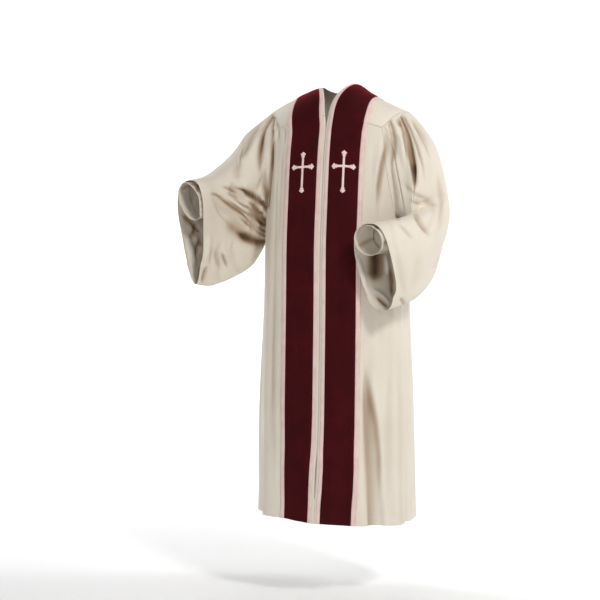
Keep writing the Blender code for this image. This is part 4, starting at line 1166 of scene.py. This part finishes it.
class Shading:
    """Nodes of one material, with short ways to add to them."""

    def __init__(self, name, surface):
        self.material = bpy.data.materials.new(name)
        self.material.use_nodes = True
        self.nodes = self.material.node_tree.nodes
        self.links = self.material.node_tree.links
        self.shader = self.nodes["Principled BSDF"]
        self.spot = self.nodes.new("ShaderNodeTexCoord")
        for key, value in surface.items():
            self.shader.inputs[key].default_value = value

    def noise(self, scale, detail=3.0):
        """Noise of the places on a piece."""
        made = self.nodes.new("ShaderNodeTexNoise")
        made.inputs["Scale"].default_value = scale
        made.inputs["Detail"].default_value = detail
        made.inputs["Roughness"].default_value = 0.55
        self.links.new(self.spot.outputs["Object"], made.inputs["Vector"])
        return made.outputs["Fac"]

    def threads(self, direction, scale, distortion):
        """Waves of the lengths on the cloth, in one direction."""
        made = self.nodes.new("ShaderNodeTexWave")
        made.bands_direction = direction
        made.inputs["Scale"].default_value = scale
        made.inputs["Distortion"].default_value = distortion
        self.links.new(self.spot.outputs["UV"], made.inputs["Vector"])
        return made.outputs["Fac"]

    def attribute(self, key):
        """Values that the points of a piece carry."""
        made = self.nodes.new("ShaderNodeAttribute")
        made.attribute_name = key
        return made.outputs["Fac"]

    def ramp(self, value, *stops):
        """Colours of a value; stops are places and colours."""
        made = self.nodes.new("ShaderNodeValToRGB")
        elements = made.color_ramp.elements
        elements[1].position = stops[-1][0]
        elements[1].color = (*stops[-1][1], 1)
        elements[0].position = stops[0][0]
        elements[0].color = (*stops[0][1], 1)
        for position, colour in stops[1:-1]:
            elements.new(position).color = (*colour, 1)
        self.links.new(value, made.inputs["Fac"])
        return made.outputs["Color"]

    def mixed(self, factor, first, second, blend="MIX"):
        """Mix of two colours."""
        made = self.nodes.new("ShaderNodeMix")
        made.data_type = "RGBA"
        made.blend_type = blend
        made.inputs[0].default_value = factor
        self.links.new(first, made.inputs[6])
        self.links.new(second, made.inputs[7])
        return made.outputs[2]

    def finish(self, colour, *layers):
        """The material with its colour and its bumps: heights, strengths and distances."""
        self.links.new(colour, self.shader.inputs["Base Color"])
        target = self.shader.inputs["Normal"]
        for height, strength, distance in reversed(layers):
            made = self.nodes.new("ShaderNodeBump")
            made.inputs["Strength"].default_value = strength
            made.inputs["Distance"].default_value = distance
            self.links.new(height, made.inputs["Height"])
            self.links.new(made.outputs["Normal"], target)
            target = made.inputs["Normal"]
        return self.material


# Surfaces of the materials
IVORY_SURFACE = {
    "Roughness": 0.58,
    "Specular IOR Level": 0.35,
    "Sheen Weight": 0.25,
    "Sheen Roughness": 0.45,
    "Sheen Tint": (1.0, 0.96, 0.90, 1),
}
VELVET_SURFACE = {
    "Roughness": 0.85,
    "Specular IOR Level": 0.06,
    "Sheen Weight": 0.55,
    "Sheen Roughness": 0.35,
    "Sheen Tint": (0.90, 0.02, 0.05, 1),
}
TRIM_SURFACE = {"Roughness": 0.45, "Specular IOR Level": 0.40, "Sheen Weight": 0.15}
FLOOR_SURFACE = {"Roughness": 0.8}

# Factors on the ivory: painted shade where the cloth is creased, and painted light on the rear walls of the
# sleeves
CLOTH_SHADES = {
    "hollow": ((0.0, (1.0, 1.0, 1.0)), (0.5, (0.50, 0.375, 0.275)), (1.0, (0.12, 0.070, 0.042))),
    "pale": ((0.0, (1.0, 1.0, 1.0)), (1.0, (1.20, 1.21, 1.25))),
}


def ivory_material():
    """Ivory cloth with a fine weave and a soft sheen, with painted shade in its creases and painted light
    on the rear walls of the sleeves.
    """
    cloth = Shading("ivory_cloth_fine", IVORY_SURFACE)
    slub = cloth.noise(160.0, 4.0)
    grain = cloth.ramp(slub, (0.3, (0.58, 0.53, 0.46)), (0.7, (0.86, 0.82, 0.75)))
    base = cloth.ramp(cloth.noise(5.0, 2.0), (0.35, (0.680, 0.610, 0.505)), (0.65, (0.725, 0.660, 0.560)))
    base = cloth.mixed(0.10, base, grain)
    for key, stops in CLOTH_SHADES.items():
        base = cloth.mixed(1.0, base, cloth.ramp(cloth.attribute(key), *stops), "MULTIPLY")
    warp = cloth.threads("X", 420.0, 0.4)
    weft = cloth.threads("Y", 380.0, 0.4)
    return cloth.finish(base, (cloth.noise(38.0), 0.30, 0.0022), (slub, 0.12, 0.0006),
                        (warp, 0.10, 0.0002), (weft, 0.10, 0.0002))


def velvet_material():
    """Maroon velvet: dark pile that glows crimson where it is seen at a slant."""
    velvet = Shading("maroon_velvet_fine", VELVET_SURFACE)
    pile = velvet.noise(700.0, 2.0)
    tips = velvet.ramp(pile, (0.35, (0.018, 0.002, 0.003)), (0.7, (0.090, 0.010, 0.014)))
    base = velvet.ramp(velvet.noise(14.0), (0.35, (0.036, 0.0035, 0.0045)), (0.68, (0.060, 0.0045, 0.006)))
    return velvet.finish(velvet.mixed(0.35, base, tips), (velvet.noise(60.0), 0.25, 0.0012),
                         (pile, 0.35, 0.0004))


def trim_material(name, light, dark, ribs):
    """Blush woven trim, or satin thread, with ribs across it."""
    trim = Shading(name, TRIM_SURFACE)
    cast = trim.noise(30.0)
    rib = trim.threads("Y", ribs, 0.6)
    base = trim.mixed(0.18, trim.ramp(cast, (0.35, dark), (0.65, light)),
                      trim.ramp(rib, (0.2, dark), (0.8, light)), "MULTIPLY")
    return trim.finish(base, (cast, 0.15, 0.0010), (rib, 0.35, 0.0003))


def floor_material():
    """Plain pale floor."""
    floor = Shading("floor", FLOOR_SURFACE)
    return floor.finish(floor.ramp(floor.noise(0.6, 2.0), (0.3, (0.955, 0.955, 0.955)),
                                   (0.7, (0.975, 0.975, 0.975))))


IVORY = ivory_material()
VELVET = velvet_material()
TRIM = trim_material("blush_trim_fine", (0.83, 0.655, 0.60), (0.75, 0.56, 0.515), 260.0)
THREAD = trim_material("blush_thread_fine", (0.95, 0.76, 0.73), (0.84, 0.63, 0.60), 620.0)
SEWING = trim_material("ivory_thread_fine", (0.80, 0.75, 0.67), (0.66, 0.60, 0.52), 900.0)


def finish_piece(piece, material, slot, *nodes):
    """Put a piece in its material, on its body, and in the place of its nodes."""
    piece.data.materials.append(material)
    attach(piece, "root")
    if nodes:
        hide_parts(*nodes)
    return piece


yoke = finish_piece(make_yoke("yoke_cloth"), IVORY, "ivory_cloth", "yoke")
for side, word in ((1, "left"), (-1, "right")):
    finish_piece(make_front(side, "front_cloth_" + word), IVORY, "ivory_cloth",
                                "front_" + word)
back = finish_piece(make_back("back_cloth"), IVORY, "ivory_cloth", "back")
# Each sleeve's side, table, folds, hidden creases, seed, and how much light is painted on its rear wall
SLEEVES = {
    "right": (-1, RIGHT_SLEEVE, RIGHT_SLEEVE_FOLDS, RIGHT_HIDDEN, 5, 1.0),
    "left": (1, LEFT_SLEEVE, LEFT_SLEEVE_FOLDS, LEFT_HIDDEN, 8, 0.0),
}
CUFF_SEEDS = {"right": 3, "left": 4}
for word, shape in SLEEVES.items():
    finish_piece(make_sleeve("sleeve_cloth_" + word, *shape), IVORY, "ivory_cloth",
                                 "sleeve_" + word)
for word, shape in SLEEVES.items():
    made = make_cuff("cuff_cloth_" + word, shape[1], CUFFS[word], CUFF_SEEDS[word])
    finish_piece(made, IVORY, "ivory_cloth", "cuff_" + word)

# Which edges of front_bands each band lies between, its cells across, its thickness and its crown
VELVET_BAND = (2, 3, 16, 0.0014, 0.0007)
TRIM_BANDS = {"inner_": (1, 2, 6, 0.0009, 0.0005), "outer_": (3, 4, 6, 0.0009, 0.0005)}
velvets, trims = {}, {}
for side, word in ((1, "left"), (-1, "right")):
    velvets[word] = finish_piece(make_band("velvet_cloth_" + word, side, *VELVET_BAND), VELVET,
                                 "maroon_velvet", "velvet_" + word)
    for edge, shape in TRIM_BANDS.items():
        trims[edge + word] = finish_piece(make_band("trim_cloth_" + edge + word, side, *shape), TRIM,
                                          "blush_trim", "trim_" + edge + word)
    finish_piece(make_cross("cross_thread_" + word, side), THREAD, "blush_trim", "cross_" + word)

# Rows of stitches lie just inside the edges of the trims, beside the yoke seams and above the hem
TRIM_INSET = 0.0014
TRIM_TOP = 0.0016
CLOTH_TOP = 0.0002
YOKE_SEAM_FROM = 0.14
HEM_ROW_FROM = 0.138
BACK_SEAM_REACH = 0.19
BACK_HEM_REACH = 0.33
trim_rows = []
for side in (1, -1):
    for index, inset in ((1, TRIM_INSET), (2, -TRIM_INSET), (3, TRIM_INSET), (4, -TRIM_INSET)):
        trim_rows.append(band_row(side, index, inset, TRIM_TOP))
finish_piece(make_stitches("trim_stitches", trim_rows), THREAD, "blush_trim")


def level_row(rounds, level):
    """A stitch row on the body cloth at one level."""
    return cloth_row(rounds, np.full(len(rounds), level), CLOTH_TOP)


seam_rows = []
for side in (1, -1):
    armhole = float(armhole_round(np.array(FRONT_YOKE), side))
    seam_rows.append(level_row(side * spaced(YOKE_SEAM_FROM, armhole - STITCH_INSET, STITCH_STEP),
                               FRONT_YOKE - STITCH_INSET))
    side_seam = float(armhole_round(np.array(HEM - HEM_TURN), side))
    seam_rows.append(level_row(side * np.linspace(HEM_ROW_FROM, side_seam - 0.003, 60), HEM - HEM_TURN))
seam_rows.append(level_row(np.linspace(-BACK_SEAM_REACH, BACK_SEAM_REACH, 90), -(BACK_YOKE - STITCH_INSET)))
seam_rows.append(level_row(np.linspace(-BACK_HEM_REACH, BACK_HEM_REACH, 200), -(HEM - HEM_TURN)))
finish_piece(make_stitches("seam_stitches", seam_rows), SEWING, "ivory_cloth")

scene = bpy.context.scene
scene.view_settings.view_transform = "Standard"

# The floor, where its backdrop starts and how large a curve joins them
FLOOR_LEVEL = -1.56
SWEEP_START = 3.0
SWEEP_RADIUS = 2.5
FLOOR_NEAR = -9.0
BACKDROP_RISE = 8.0
FLOOR_REACH = 14.0


def make_stage():
    """Pale floor that sweeps up into a plain backdrop."""
    turn = np.linspace(0, math.pi / 2, 25)
    flat = np.linspace(FLOOR_NEAR, SWEEP_START, 12)[:-1]
    rise = np.linspace(0, BACKDROP_RISE, 9)[1:]
    sweep_y = np.concatenate((flat, SWEEP_START + SWEEP_RADIUS * np.sin(turn),
                              np.full(len(rise), SWEEP_START + SWEEP_RADIUS)))
    sweep_z = np.concatenate((np.zeros(len(flat)), SWEEP_RADIUS * (1 - np.cos(turn)), SWEEP_RADIUS + rise))
    sweep_z = sweep_z + FLOOR_LEVEL
    across = np.linspace(-FLOOR_REACH, FLOOR_REACH, 15)
    grid = np.stack(np.broadcast_arrays(across[None, :], sweep_y[:, None], sweep_z[:, None]), axis=-1)
    spin = np.array(((math.cos(AZIMUTH), -math.sin(AZIMUTH)), (math.sin(AZIMUTH), math.cos(AZIMUTH))))
    grid[..., :2] = grid[..., :2] @ spin.T
    floor = new_mesh("floor", grid.reshape(-1, 3), quads(*grid.shape[:2]))
    floor.data.materials.append(floor_material())


make_stage()

world = bpy.data.worlds.new("studio")
world.use_nodes = True
sky = world.node_tree.nodes["Background"]
sky.inputs["Color"].default_value = (0.97, 0.98, 1.0, 1)
sky.inputs["Strength"].default_value = 0.30
scene.world = world

# Lights: place, aim, size of the square, power and colour
LIGHTS = {
    "key": ((2.9, -2.8, 2.2), (0, 0, -0.45), 0.8, 100, (1.0, 0.99, 0.97)),
    "fill": ((0.4, -4.7, 0.1), (-0.1, 0, -0.45), 1.2, 37, (1.0, 0.99, 0.98)),
    "backdrop_left": ((-4.0, 1.6, 2.0), (-1.0, 6.0, -0.2), 3.0, 170, (1.0, 1.0, 1.0)),
    "backdrop_right": ((4.0, 1.6, 2.0), (0.0, 6.0, -0.2), 3.0, 170, (1.0, 1.0, 1.0)),
}


def area_light(name, place_at, aim, size, power, colour):
    """Soft square light."""
    light = bpy.data.lights.new(name, "AREA")
    light.size = size
    light.energy = power
    light.color = colour
    made = bpy.data.objects.new(name, light)
    made.location = place_at
    made.rotation_euler = (Vector(aim) - Vector(place_at)).to_track_quat("-Z", "Y").to_euler()
    scene.collection.objects.link(made)


for name, light in LIGHTS.items():
    area_light(name, *light)

camera = bpy.data.cameras.new("camera")
camera.lens = LENS
camera.sensor_width = SENSOR
camera.dof.use_dof = False
eye = bpy.data.objects.new("camera", camera)
eye.location = EYE
eye.rotation_euler = Vector(AIM - EYE).to_track_quat("-Z", "Y").to_euler()
scene.collection.objects.link(eye)
scene.camera = eye
